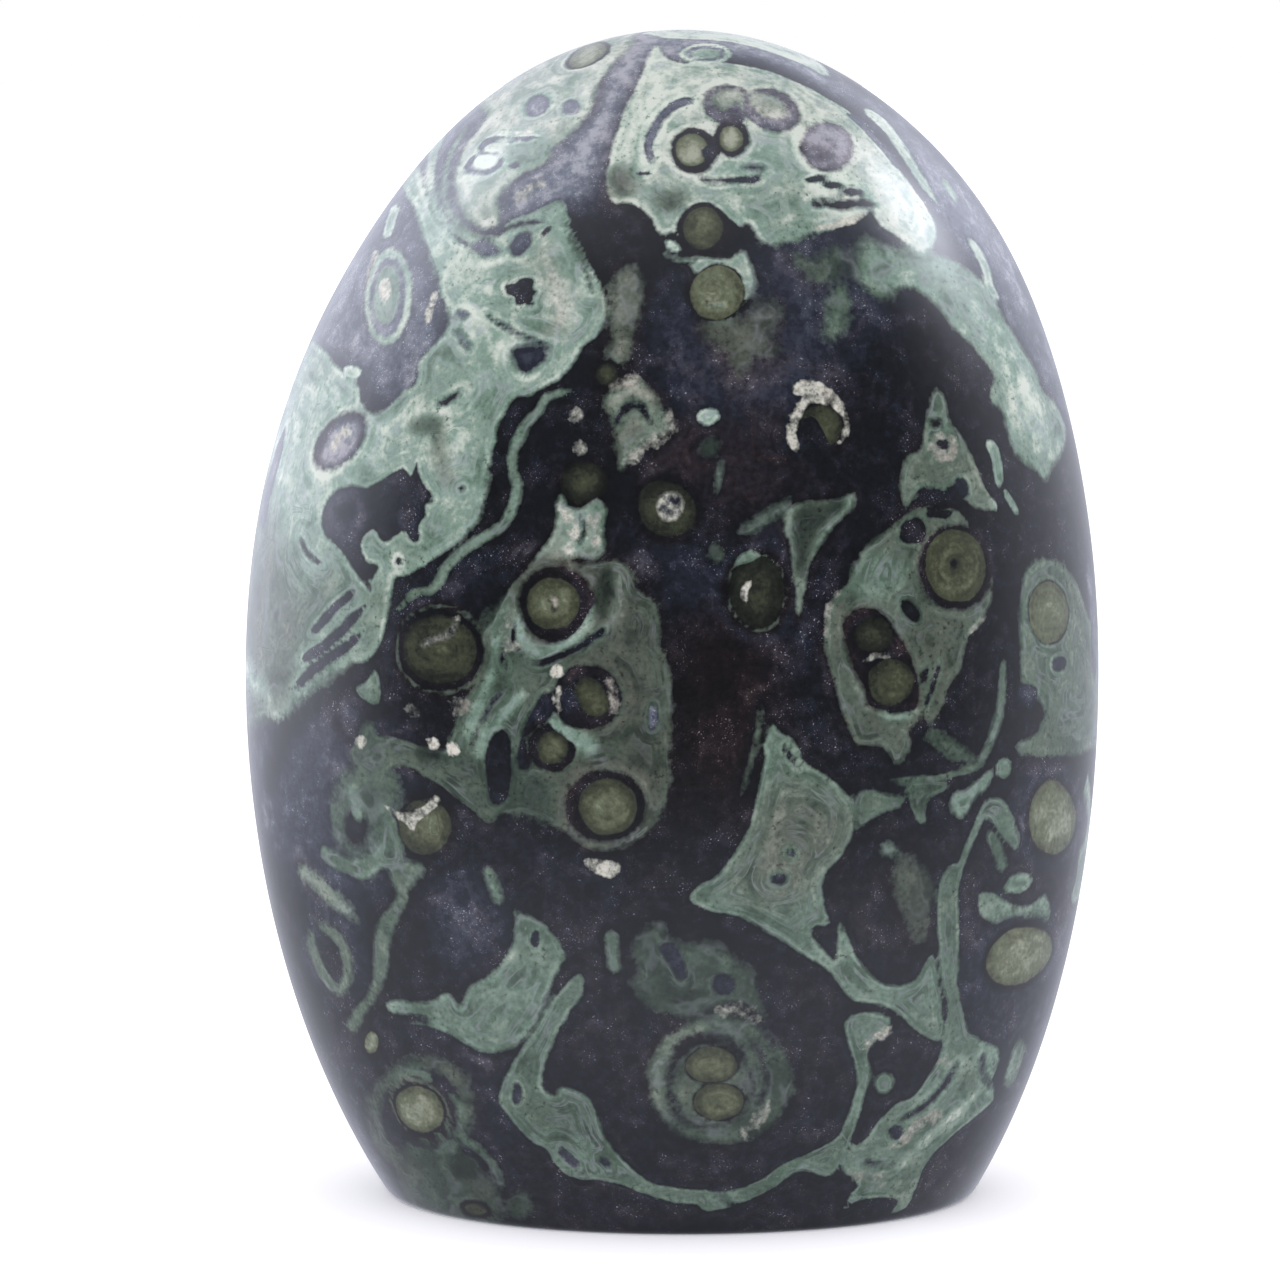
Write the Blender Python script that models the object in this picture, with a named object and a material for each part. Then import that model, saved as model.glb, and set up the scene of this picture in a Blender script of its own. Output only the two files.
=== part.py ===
"""A polished standing freeform of kambaba jasper: one solid egg-shaped stone, sawn flat underneath.

Blender 4.5 script, in metres, +Z up. The origin is in the plane of the flat foot, straight under
the middle of the girth. The broad face looks along -Y. The stone is one piece, so it is one object.
"""

import math

import bmesh
import bpy

# Overall size of the stone
HEIGHT = 0.100
HALF_WIDTH = 0.0366
HALF_DEPTH = 0.0275

# The girth is the widest level. Above it the outline is nearly an ellipse up to the crown.
# Below it a like curve would close at BELLY_REACH under the girth, and the saw cuts it short.
GIRTH_HEIGHT = 0.0448
DOME_POWER = 2.04
BELLY_REACH = 0.0616
BELLY_POWER = 2.05

# Horizontal sections are near ellipses, a little squarer
SECTION_POWER = 2.06

# The hand grinding left the foot and crown a little to +X of the girth, and the shoulder more so
FOOT_LEAN = 0.0008
SHOULDER_LEAN = 0.0006

# The sawn foot has a small polished edge
FOOT_EDGE_HEIGHT = 0.0007
FOOT_EDGE_INSET = 0.0005
FOOT_EDGE_RINGS = 3

# Mesh fineness of the faceted solid
SEGMENTS = 96
BELLY_RINGS = 20
DOME_RINGS = 26

STONE_COLOUR = (0.030, 0.043, 0.041, 1.0)
STONE_ROUGHNESS = 0.22


def clear_scene():
    """Removes whatever objects the open file holds."""
    for old in list(bpy.data.objects):
        bpy.data.objects.remove(old, do_unlink=True)


def dome_rise(z):
    """How far z is from the girth, 0, to the crown, 1."""
    return min(1.0, (z - GIRTH_HEIGHT) / (HEIGHT - GIRTH_HEIGHT))


def girth_share(z):
    """Size of the section at height z as a share of the section at the girth."""
    if z >= GIRTH_HEIGHT:
        return (1.0 - dome_rise(z) ** DOME_POWER) ** (1.0 / DOME_POWER)
    drop = (GIRTH_HEIGHT - z) / BELLY_REACH
    return math.sqrt(1.0 - drop**BELLY_POWER)


def lean(z):
    """Sideways shift of the section at height z: none at the girth."""
    if z >= GIRTH_HEIGHT:
        rise = dome_rise(z)
        shoulder = SHOULDER_LEAN * math.sin(math.pi * rise * rise) ** 2
        return FOOT_LEAN * (1.0 - math.cos(0.5 * math.pi * rise)) + shoulder
    return FOOT_LEAN * (1.0 - math.sin(0.5 * math.pi * z / GIRTH_HEIGHT))


def section(z, inset=0.0):
    """The points of the horizontal section at height z, anticlockwise seen from above."""
    share = girth_share(z)
    wide, deep = HALF_WIDTH * share - inset, HALF_DEPTH * share - inset
    points = []
    for i in range(SEGMENTS):
        turn = 2.0 * math.pi * i / SEGMENTS
        across, along = math.cos(turn), math.sin(turn)
        x = wide * math.copysign(abs(across) ** (2.0 / SECTION_POWER), across)
        y = deep * math.copysign(abs(along) ** (2.0 / SECTION_POWER), along)
        points.append((x + lean(z), y, z))
    return points


def section_levels():
    """(height, inset) of every section, from the foot to just under the crown."""
    levels = []
    for i in range(FOOT_EDGE_RINGS):
        turn = 0.5 * math.pi * i / FOOT_EDGE_RINGS
        height = FOOT_EDGE_HEIGHT * (1.0 - math.cos(turn))
        levels.append((height, FOOT_EDGE_INSET * (1.0 - math.sin(turn))))
    belly = GIRTH_HEIGHT - FOOT_EDGE_HEIGHT
    levels += [(FOOT_EDGE_HEIGHT + belly * i / BELLY_RINGS, 0.0) for i in range(BELLY_RINGS)]
    dome = HEIGHT - GIRTH_HEIGHT
    for i in range(DOME_RINGS):
        turn = 0.5 * math.pi * i / DOME_RINGS
        levels.append((GIRTH_HEIGHT + dome * math.sin(turn), 0.0))
    return levels


def stone_mesh():
    """The closed skin: a flat foot, the sections joined in turn, and a fan to the crown."""
    shape = bmesh.new()
    rings = [
        [shape.verts.new(point) for point in section(height, inset)]
        for height, inset in section_levels()
    ]
    shape.faces.new(list(reversed(rings[0])))
    for lower, upper in zip(rings, rings[1:]):
        for i in range(SEGMENTS):
            j = (i + 1) % SEGMENTS
            shape.faces.new((lower[i], lower[j], upper[j], upper[i]))
    crown = shape.verts.new((lean(HEIGHT), 0.0, HEIGHT))
    for i in range(SEGMENTS):
        shape.faces.new((rings[-1][i], rings[-1][(i + 1) % SEGMENTS], crown))
    mesh = bpy.data.meshes.new("stone")
    shape.to_mesh(mesh)
    shape.free()
    return mesh


def polished_stone():
    """Dark green-black stone with a waxed polish."""
    material = bpy.data.materials.new("polished_jasper")
    material.use_nodes = True
    surface = material.node_tree.nodes["Principled BSDF"]
    surface.inputs["Base Color"].default_value = STONE_COLOUR
    surface.inputs["Roughness"].default_value = STONE_ROUGHNESS
    surface.inputs["Metallic"].default_value = 0.0
    material.diffuse_color = STONE_COLOUR
    return material


def build():
    """Makes the one object of the part."""
    clear_scene()
    mesh = stone_mesh()
    mesh.materials.append(polished_stone())
    mesh.shade_smooth()
    mesh.set_sharp_from_angle(angle=math.radians(40))
    stone = bpy.data.objects.new("stone", mesh)
    bpy.context.scene.collection.objects.link(stone)
    return stone


build()
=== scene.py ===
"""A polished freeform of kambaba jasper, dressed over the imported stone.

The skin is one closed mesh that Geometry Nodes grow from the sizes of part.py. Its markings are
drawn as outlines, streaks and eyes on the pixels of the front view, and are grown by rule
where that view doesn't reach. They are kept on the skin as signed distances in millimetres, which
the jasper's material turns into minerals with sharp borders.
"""

import ast
import logging
import math
import textwrap
from dataclasses import dataclass, field
from enum import Enum
from typing import ClassVar

import bpy
import numpy as np
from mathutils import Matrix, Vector, noise
from mathutils.bvhtree import BVHTree


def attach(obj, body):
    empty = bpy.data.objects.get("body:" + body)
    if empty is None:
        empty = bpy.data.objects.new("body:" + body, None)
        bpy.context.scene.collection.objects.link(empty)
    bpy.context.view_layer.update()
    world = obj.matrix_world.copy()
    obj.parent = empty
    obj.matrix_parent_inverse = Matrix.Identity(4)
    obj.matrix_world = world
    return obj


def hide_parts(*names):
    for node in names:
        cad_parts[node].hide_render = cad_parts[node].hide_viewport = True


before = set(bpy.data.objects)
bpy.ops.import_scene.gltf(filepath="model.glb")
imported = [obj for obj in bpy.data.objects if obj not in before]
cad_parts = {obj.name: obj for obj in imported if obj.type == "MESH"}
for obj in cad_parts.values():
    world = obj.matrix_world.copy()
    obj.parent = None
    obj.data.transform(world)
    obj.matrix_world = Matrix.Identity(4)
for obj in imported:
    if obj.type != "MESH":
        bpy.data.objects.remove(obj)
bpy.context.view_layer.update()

LOG = logging.getLogger("kambaba")
PIXELS = 1280
PIXELS_PER_MM = 11.65
MM = 0.001
Pixel = tuple[float, float]
Span = tuple[float, float]


class Mineral(Enum):
    """What a marking is made of."""

    DARK = "near black stromatolite ground"
    GREEN = "sage green quartz and aegirine"
    PALE = "cream to grey chalcedony"


def add_node(
    tree: bpy.types.NodeTree, kind: str, feeds: dict | None = None, **settings: object
) -> bpy.types.Node:
    """Adds a node, with its settings and what its inputs are fed.

    Args:
        tree: the node tree that it goes into.
        kind: the node's type name.
        feeds: a value or an output socket for each input, by name or place.
        settings: the node's own properties.

    Returns:
        The new node.
    """
    node = tree.nodes.new(kind)
    for name, value in settings.items():
        setattr(node, name, value)
    for place, value in (feeds or {}).items():
        if isinstance(value, bpy.types.NodeSocket):
            tree.links.new(value, node.inputs[place])
        else:
            node.inputs[place].default_value = value
    return node


OPERATIONS = {
    ast.Add: "ADD", ast.Sub: "SUBTRACT", ast.Mult: "MULTIPLY", ast.Div: "DIVIDE", ast.Pow: "POWER"}


def is_product(part: ast.expr) -> bool:
    """Whether a part of a formula is a product."""
    return isinstance(part, ast.BinOp) and isinstance(part.op, ast.Mult)


def negative(part: ast.expr) -> ast.expr | None:
    """The negative of a number, or of a product that starts with one; None of anything else."""
    if isinstance(part, ast.Constant):
        return ast.Constant(-part.value)
    if is_product(part) and isinstance(part.left, ast.Constant):
        return ast.BinOp(ast.Constant(-part.left.value), ast.Mult(), part.right)
    return None


def work_out(tree: bpy.types.NodeTree, known: dict, formulas: str) -> dict:
    """Adds the math nodes of formulas, one to a line, each "result = formula".

    A formula names math nodes' operations as functions. What held() is around stays from 0 to 1.

    Args:
        tree: the node tree that they go into.
        known: the sockets and numbers that formulas may name; the results are added to it.
        formulas: the lines.

    Returns:
        The same dict, with the results in it.
    """

    def grow(part: ast.expr) -> float | bpy.types.NodeSocket:
        """The number that a part of a formula is, or the output of its nodes."""
        if isinstance(part, ast.Constant):
            return float(part.value)
        if isinstance(part, ast.UnaryOp):
            return -grow(part.operand)
        if isinstance(part, ast.Name):
            return known[part.id]
        is_held = isinstance(part, ast.Call) and part.func.id == "held"
        if is_held:
            part = part.args[0]
        if isinstance(part, ast.Call):
            operation, terms = part.func.id.upper(), part.args
        else:
            operation, terms = OPERATIONS[type(part.op)], [part.left, part.right]
            if operation == "SUBTRACT" and negative(part.right):
                operation, terms = "ADD", [part.left, negative(part.right)]
            if operation == "ADD" and any(map(is_product, terms)):
                rest, product = terms if is_product(terms[1]) else reversed(terms)
                operation, terms = "MULTIPLY_ADD", [product.left, product.right, rest]
        feeds = {i: grow(term) for i, term in enumerate(terms)}
        return add_node(tree, "ShaderNodeMath", feeds, operation=operation, use_clamp=is_held).outputs[0]

    for line in ast.parse(textwrap.dedent(formulas)).body:
        known[line.targets[0].id] = grow(line.value)
    return known


def linear(colour: str) -> tuple[float, float, float, float]:
    """An sRGB hex colour as linear red, green, blue and alpha."""
    shares = [int(colour[i : i + 2], 16) / 255 for i in (1, 3, 5)]
    return (*(s / 12.92 if s <= 0.04045 else ((s + 0.055) / 1.055) ** 2.4 for s in shares), 1.0)


@dataclass(frozen=True)
class Viewpoint:
    """The camera before the broad face, a little above it, and the pixels that it sees the stone by."""

    distance: float = 0.5
    elevation: float = math.radians(6.8)
    target: tuple[float, float, float] = (-0.00275, 0.0, 0.04787)
    lens: float = 163.8
    sensor: float = 36.0

    @property
    def toward(self) -> Vector:
        """The direction in which the camera looks."""
        return Vector((0.0, math.cos(self.elevation), -math.sin(self.elevation)))

    @property
    def place(self) -> Vector:
        """Where the camera stands."""
        return Vector(self.target) - self.distance * self.toward

    def ray(self, x: float, y: float) -> Vector:
        """The direction from the camera through a pixel."""
        up = Vector((0.0, math.sin(self.elevation), math.cos(self.elevation)))
        grain = self.sensor / self.lens / PIXELS
        across, climb = (x - PIXELS / 2) * grain, (PIXELS / 2 - y) * grain
        return (self.toward + across * Vector((1.0, 0.0, 0.0)) + climb * up).normalized()

    def add_camera(self) -> None:
        """Adds the scene's camera."""
        camera = bpy.data.cameras.new("front")
        camera.lens, camera.sensor_width = self.lens, self.sensor
        holder = bpy.data.objects.new("front", camera)
        holder.location = self.place
        holder.rotation_euler = (math.pi / 2 - self.elevation, 0.0, 0.0)
        bpy.context.scene.collection.objects.link(holder)
        bpy.context.scene.camera = holder


@dataclass(frozen=True)
class Mark:
    """What every marking has: its mineral, its tone from 0 dark to 1 pale, and how soft its border is.

    The higher warm is, the more a green is taupe, and a dark is maroon. Both soft and warm are given
    by name.
    """

    mineral: Mineral
    tone: float
    soft: float = field(default=1.0, kw_only=True)
    warm: float = field(default=0.1, kw_only=True)


@dataclass(frozen=True)
class Patch(Mark):
    """A marking inside a closed outline of pixels."""

    outline: tuple[Pixel, ...]


@dataclass(frozen=True)
class Streak(Mark):
    """A marking along a line of pixels, so many pixels wide."""

    path: tuple[Pixel, ...]
    width: float

    # The higher this is, the nearer to its ends a streak thins out
    TAPER: ClassVar[int] = 6


@dataclass(frozen=True)
class Spot(Mark):
    """An oval marking: its middle, half its width and height, and the tilt of its width, in degrees."""

    middle: Pixel
    wide: float
    tall: float
    tilt: float = 0.0


@dataclass(frozen=True)
class Eye:
    """A round orb: an olive core in a dark ring, often with a pale halo around that.

    Its core is an oval of half width wide and half height tall, in pixels. The ring and the halo are
    so many pixels thick. The tone is the core's, and pupil is how much paler its middle is.
    """

    middle: Pixel
    wide: float
    tall: float
    tilt: float = 0.0
    ring: float = 7.0
    halo: float = 0.0
    tone: float = 0.5
    pupil: float = 0.1


D, G, P = Mineral.DARK, Mineral.GREEN, Mineral.PALE

# The markings of the broad face, in the order in which they cover one another. All places are
# pixels of the front view.
# The first group is mostly painted reflection. Its dark patches that are paler than the bare ground paint
# the white studio's sheen on the polish into the stone's colour: lavender grey at the crown, along both
# upper rims, by the glare at the upper right, on the left flank and toward the foot. Its near black maroon
# patch and its green patches are the stone's own.
PAINTED_REFLECTION_AND_FIELDS = (
    Patch(D, 0.84, (
        (640, 20), (600, 60), (590, 110), (550, 150), (500, 190), (500, 225), (570, 205), (600, 185),
        (615, 130), (650, 70), (700, 60), (760, 60), (840, 95), (820, 60), (760, 30),
        (700, 20)), soft=9, warm=0.2),
    Patch(D, 0.62, (
        (560, 30), (470, 90), (400, 180), (330, 290), (300, 360), (340, 360), (400, 410), (450, 330),
        (430, 250), (470, 240), (560, 150)), soft=9),
    Patch(D, 0.6, (
        (850, 90), (900, 150), (950, 220), (990, 300), (1040, 380), (1080, 440), (1060, 340), (1000, 220),
        (930, 130)), soft=9),
    Patch(D, 0.23, (
        (560, 880), (700, 960), (900, 780), (1000, 740), (1090, 850), (1040, 1100), (960, 1200),
        (420, 1220), (480, 1000)), soft=12, warm=0.3),
    Patch(D, 0.34, ((330, 1100), (400, 1040), (480, 1060), (500, 1150), (470, 1230), (380, 1210)), soft=12),
    Patch(D, 0.34, ((960, 1060), (970, 960), (1080, 960), (1060, 1080), (1010, 1150)), soft=12),
    Patch(D, 0.4, ((430, 890), (470, 870), (510, 900), (500, 940), (470, 970), (440, 950)), soft=6),
    Patch(D, 0.5, (
        (250, 740), (275, 720), (320, 700), (370, 700), (400, 740), (410, 800), (400, 860), (350, 900),
        (310, 890), (270, 850)), soft=9),
    Patch(D, 0.42, ((650, 300), (690, 290), (730, 320), (740, 400), (700, 420), (660, 380)), soft=12),
    Patch(D, 0.52, (
        (700, 340), (760, 300), (830, 330), (820, 380), (770, 420), (720, 400)), soft=12, warm=0.4),
    Patch(D, 0.48, ((760, 240), (860, 230), (900, 260), (870, 330), (780, 320)), soft=12),
    Patch(D, 0.3, (
        (640, 440), (690, 425), (760, 430), (780, 460), (750, 510), (690, 490)), soft=12, warm=0.9),
    Patch(D, 0.34, ((620, 540), (700, 550), (730, 600), (700, 640), (670, 600)), soft=8),
    Patch(D, 0.36, ((770, 520), (785, 600), (800, 640), (780, 660), (750, 650), (735, 600)), soft=8),
    Patch(D, 0.36, ((460, 590), (430, 600), (400, 620), (395, 660), (420, 600), (480, 570)), soft=8),
    Patch(D, 0.24, ((460, 800), (520, 830), (600, 860), (620, 900), (540, 890), (470, 840)), soft=9),
    Patch(D, 0.06, (
        (690, 640), (760, 640), (765, 740), (740, 800), (690, 790), (680, 710)), soft=12, warm=1.0),
    Patch(D, 0.72, (
        (930, 190), (960, 240), (1000, 270), (1040, 330), (1060, 380), (1010, 260), (960, 180)), soft=8),
    Patch(G, 0.42, (
        (702, 330), (722, 318), (748, 322), (762, 304), (780, 312), (768, 335), (778, 352), (752, 356),
        (738, 378), (726, 352)), soft=5, warm=0.9),
    Patch(G, 0.5, (
        (850, 262), (868, 240), (890, 250), (920, 246), (948, 270), (930, 296), (905, 284), (884, 300),
        (862, 286)), soft=5, warm=0.2),
    Patch(G, 0.4, (
        (792, 252), (815, 262), (838, 248), (846, 268), (828, 284), (806, 276)), soft=5, warm=0.3),
)
LEFT_CROWN = (
    Patch(G, 0.84, (
        (640, 20), (575, 20), (520, 45), (470, 80), (478, 105), (486, 118), (463, 150), (455, 186),
        (468, 222), (482, 229), (497, 224), (501, 211), (498, 198), (521, 176), (536, 169), (549, 159),
        (553, 147), (566, 138), (582, 122), (592, 104), (597, 84), (628, 48)), soft=3, warm=0.6),
    Streak(D, 0.6, ((478, 152), (485, 143), (498, 138), (512, 140), (530, 139), (546, 141)), 6),
    Streak(P, 0.9, ((502, 131), (515, 134), (530, 133), (544, 136)), 5),
    Spot(D, 0.7, (538, 105), 14, 10, 30, soft=1.5),
    Spot(D, 0.8, (571, 107), 9, 8, soft=1.5),
    Spot(D, 0.7, (484, 164), 20, 12, 15),
    Spot(G, 0.95, (486, 162), 14, 8, 15),
    Spot(G, 0.7, (530, 153), 20, 11, 20),
    Spot(D, 0.5, (514, 166), 6, 4),
    Eye((588, 55), 20, 9, tilt=28, ring=5, tone=0.85, pupil=0.0),
    Streak(G, 0.75, (
        (447, 128), (433, 155), (430, 180), (434, 203), (446, 224), (462, 236), (480, 242),
        (497, 243)), 9, soft=2),
    Streak(G, 0.7, (
        (467, 125), (450, 155), (444, 185), (448, 208), (460, 226), (478, 236), (498, 237)), 5, soft=3),
    Streak(P, 0.6, ((512, 203), (530, 192), (546, 180)), 8, soft=3),
)
SHOULDER = (
    Patch(G, 0.74, (
        (385, 150), (405, 168), (420, 168), (424, 188), (445, 230), (462, 246), (480, 246), (498, 236),
        (508, 222), (530, 214), (560, 200), (568, 205), (572, 222), (604, 288), (600, 330), (584, 346),
        (565, 375), (525, 395), (512, 400), (500, 425), (497, 440), (488, 465), (480, 515), (470, 527),
        (460, 540), (412, 572), (394, 580), (390, 608), (382, 640), (367, 660), (340, 664), (300, 696),
        (284, 723), (262, 718), (225, 730), (205, 640), (205, 560), (215, 480), (235, 400), (280, 330),
        (322, 348), (335, 365), (357, 385), (362, 405), (375, 415), (390, 405), (405, 390), (418, 380),
        (420, 360), (440, 340), (450, 318), (441, 295), (436, 270), (418, 218), (404, 190)), soft=1.5),
    Patch(G, 0.86, (
        (410, 180), (425, 190), (440, 235), (470, 255), (500, 262), (490, 300), (470, 330), (452, 315),
        (440, 285), (425, 230)), soft=5),
    Patch(G, 0.84, (
        (300, 400), (340, 390), (370, 420), (410, 410), (440, 400), (480, 380), (470, 420), (440, 500),
        (430, 470), (380, 465), (330, 480), (290, 540), (270, 560), (260, 480)), soft=5),
    Patch(G, 0.54, (
        (200, 500), (255, 470), (285, 560), (300, 600), (330, 590), (370, 600), (350, 650), (290, 700),
        (200, 740)), soft=9, warm=0.5),
    Patch(G, 0.72, ((478, 430), (488, 450), (482, 500), (466, 530), (456, 520), (466, 480)), soft=5),
    Streak(G, 0.84, ((225, 610), (240, 660), (270, 700)), 12, soft=4),
    Streak(G, 0.9, ((500, 262), (490, 290), (470, 320), (500, 340), (530, 380)), 8, soft=3, warm=0.3),
    Spot(D, 0.7, (485, 249), 14, 8, -10, soft=3),
    Spot(D, 0.6, (520, 243), 15, 9, 50, soft=2),
    Streak(D, 0.4, ((498, 232), (512, 226), (530, 222), (545, 222)), 5, soft=2),
    Streak(D, 0.3, ((540, 238), (547, 230), (552, 226)), 5),
    Streak(G, 0.8, ((544, 245), (558, 285), (562, 310), (556, 328), (540, 335)), 14, soft=3, warm=0.9),
    Streak(G, 0.85, (
        (538, 232), (556, 255), (568, 285), (575, 315), (568, 333), (550, 342)), 6, soft=3, warm=0.5),
    Streak(G, 0.86, ((535, 262), (543, 285), (545, 308), (535, 322)), 5, soft=3, warm=0.5),
    Streak(D, 0.3, ((566, 222), (588, 270), (592, 292)), 3, soft=2),
    Patch(D, 0.15, (
        (505, 283), (515, 283), (519, 279), (534, 278), (533, 288), (538, 292), (532, 298), (533, 308),
        (524, 304), (516, 306), (514, 297), (507, 292))),
    Patch(D, 0.45, ((511, 350), (535, 345), (547, 351), (545, 360), (530, 373), (520, 371)), soft=2),
    Streak(D, 0.5, ((484, 312), (510, 330), (540, 344), (552, 346)), 5, soft=1.5),
    Spot(D, 0.8, (462, 315), 7, 5, soft=2),
    Streak(D, 0.8, ((455, 333), (462, 342), (470, 350)), 6, soft=2),
    Streak(D, 0.3, ((438, 404), (450, 399), (462, 390)), 6, soft=2),
    Spot(D, 0.3, (461, 488), 3.5, 3.5),
    Spot(D, 0.3, (399, 559), 3.5, 3.5),
    Streak(G, 0.9, ((445, 415), (453, 455), (456, 478)), 8, soft=3, warm=0.3),
    Streak(G, 0.66, ((437, 425), (443, 465), (449, 482)), 7, soft=3, warm=0.8),
    Spot(G, 0.5, (425, 426), 15, 6, soft=2),
    Spot(D, 0.45, (340, 440), 35, 20, 52, soft=2, warm=0.5),
    Spot(D, 0.85, (341, 442), 25, 12, 52, soft=2, warm=0.6),
    Streak(P, 0.8, ((349, 424), (340, 436), (333, 450)), 9, soft=3),
    Patch(D, 0.25, (
        (325, 505), (335, 492), (350, 487), (370, 487), (395, 472), (405, 470), (412, 478), (418, 462),
        (422, 480), (433, 500), (425, 503), (425, 515), (420, 525), (420, 538), (412, 540), (405, 530),
        (385, 542), (375, 530), (365, 535), (360, 545), (365, 560), (378, 565), (372, 580), (362, 580),
        (335, 545), (325, 535), (322, 520))),
    Spot(D, 0.58, (345, 513), 18, 21, soft=3, warm=0.4),
    Spot(D, 0.25, (345, 513), 8, 8, soft=2),
    Streak(D, 0.2, ((365, 572), (368, 582), (371, 592)), 4),
    Streak(D, 0.3, ((299, 535), (310, 556), (324, 566)), 5),
    Patch(G, 0.66, (
        (300, 640), (330, 600), (362, 584), (376, 610), (360, 650), (320, 690), (290, 700)), soft=4),
    Streak(D, 0.36, ((310, 636), (332, 612), (356, 590)), 9),
    Streak(D, 0.36, ((300, 664), (330, 640), (368, 606)), 10),
    Streak(D, 0.36, ((292, 690), (326, 660), (364, 632)), 10),
    Streak(D, 0.6, ((286, 425), (266, 500), (262, 530)), 7, soft=2),
    Streak(G, 0.6, (
        (574, 391), (548, 397), (536, 412), (525, 425), (512, 458), (516, 487), (510, 510), (501, 525),
        (474, 543), (450, 562), (434, 589), (413, 594), (394, 616)), 10, soft=1.5),
    Streak(D, 0.05, ((572, 218), (580, 236), (602, 276), (608, 312)), 8),
    Spot(G, 0.9, (352, 372), 10, 7),
    Spot(G, 0.82, (389, 297), 24, 48, -4, soft=2, warm=0.3),
    Spot(D, 0.74, (388, 297), 18, 40, -4, soft=2),
    Spot(G, 0.7, (387, 295), 13, 30, -4, soft=2, warm=0.3),
    Spot(P, 0.8, (385, 290), 6, 12),
    Streak(P, 0.8, ((434, 292), (430, 310), (426, 326)), 6),
    Streak(G, 0.85, ((397, 203), (391, 222), (384, 240)), 9, soft=1.5),
    Streak(P, 0.6, ((374, 252), (371, 268), (366, 285)), 6, soft=1.5),
)
CROWN_CAP = (
    Streak(G, 0.95, ((640, 34), (730, 37), (800, 58), (830, 76)), 10, soft=2),
    Patch(G, 0.88, (
        (655, 45), (648, 60), (640, 80), (622, 115), (608, 165), (610, 195), (618, 203), (630, 202),
        (650, 215), (656, 228), (665, 234), (673, 230), (690, 240), (720, 245), (745, 222), (757, 238),
        (764, 244), (777, 243), (790, 236), (808, 232), (825, 232), (865, 216), (872, 210), (880, 225),
        (905, 242), (918, 252), (932, 250), (934, 222), (900, 170), (875, 135), (858, 121), (838, 104),
        (775, 73), (720, 62), (690, 64), (670, 60)), soft=1.5, warm=0.45),
    Patch(G, 0.78, (
        (650, 190), (700, 190), (750, 160), (790, 150), (800, 180), (820, 230), (770, 245), (745, 215),
        (700, 200), (670, 225)), soft=5, warm=0.2),
    Patch(G, 0.93, (
        (655, 60), (680, 80), (670, 120), (640, 170), (615, 175), (618, 140), (640, 95)), soft=4, warm=0.3),
    Spot(G, 0.95, (706, 54), 26, 11, soft=1.5),
    Spot(D, 0.8, (706, 54), 20, 8, soft=1.5),
    Spot(G, 0.8, (706, 54), 15, 5, soft=1.5),
    Streak(G, 0.8, ((862, 108), (880, 122), (897, 142), (938, 205)), 9, soft=1.5),
    Streak(G, 0.8, ((943, 178), (950, 190), (957, 202)), 6, soft=2),
    Streak(G, 0.85, ((968, 238), (978, 252), (986, 270), (990, 288), (1000, 300)), 8, soft=1.5),
    Streak(D, 0.6, ((845, 112), (860, 124), (888, 154), (897, 168)), 5),
    Streak(D, 0.7, ((652, 165), (648, 148), (653, 130), (663, 114), (678, 103), (695, 100)), 9, soft=1.5),
    Spot(D, 0.68, (728, 104), 25, 20, soft=2, warm=0.5),
    Spot(G, 0.74, (730, 101), 16, 12, soft=3, warm=0.8),
    Spot(D, 0.68, (737, 110), 9, 7, soft=3, warm=0.5),
    Spot(D, 0.74, (772, 110), 29, 21, -25, soft=2, warm=0.5),
    Spot(G, 0.8, (768, 106), 20, 11, -25, soft=3, warm=0.8),
    Spot(D, 0.3, (693, 151), 24, 24, soft=1.5, warm=0.5),
    Eye((691, 150), 17, 17, ring=2, tone=0.78),
    Spot(D, 0.25, (706, 153), 6, 8, 40, soft=1.5),
    Spot(D, 0.4, (731, 138), 19, 19, soft=1.5, warm=0.5),
    Eye((730, 138), 13, 13, ring=1, tone=0.78),
    Streak(G, 0.95, ((797, 132), (800, 155), (810, 168), (830, 176), (850, 176)), 6),
    Spot(D, 0.72, (827, 147), 27, 25, soft=2, warm=0.7),
    Spot(D, 0.85, (821, 132), 14, 9, soft=4, warm=0.5),
    Streak(D, 0.3, ((803, 183), (815, 180), (842, 188), (855, 190), (868, 186)), 7),
    Streak(P, 0.9, ((820, 189), (850, 198), (862, 196)), 5),
    Streak(D, 0.3, ((808, 205), (825, 202), (845, 205), (862, 203), (876, 205)), 10, soft=2),
    Streak(P, 0.75, ((810, 229), (825, 228), (858, 218), (868, 212)), 6),
    Streak(D, 0.4, ((698, 180), (715, 183), (735, 180), (752, 181), (763, 174)), 7, soft=1.5),
    Streak(D, 0.55, ((740, 166), (752, 167), (765, 170)), 6, soft=2.5),
    Spot(G, 0.5, (621, 181), 10, 12, soft=4, warm=0.9),
    Streak(D, 0.4, ((635, 169), (642, 174), (650, 171)), 5),
    Spot(G, 0.42, (671, 200), 9, 7, soft=4, warm=0.4),
    Patch(D, 0.1, (
        (683, 232), (688, 214), (702, 204), (716, 208), (742, 230), (738, 241), (725, 250), (705, 255),
        (690, 249))),
    Eye((703, 228), 19, 21, tilt=-8, ring=6, pupil=0.0),
    Spot(G, 0.8, (673, 245), 9, 5, -30),
    Streak(G, 0.6, ((662, 251), (680, 259), (700, 257)), 4, soft=1.5),
    Patch(G, 0.76, (
        (692, 268), (700, 258), (728, 259), (742, 252), (754, 276), (752, 292), (730, 318),
        (716, 300)), soft=1.5, warm=0.3),
    Eye((717, 293), 28, 28, ring=1.5, tone=0.74, pupil=0.0),
    Streak(G, 0.6, ((704, 300), (713, 308), (726, 306)), 4),
)
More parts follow.
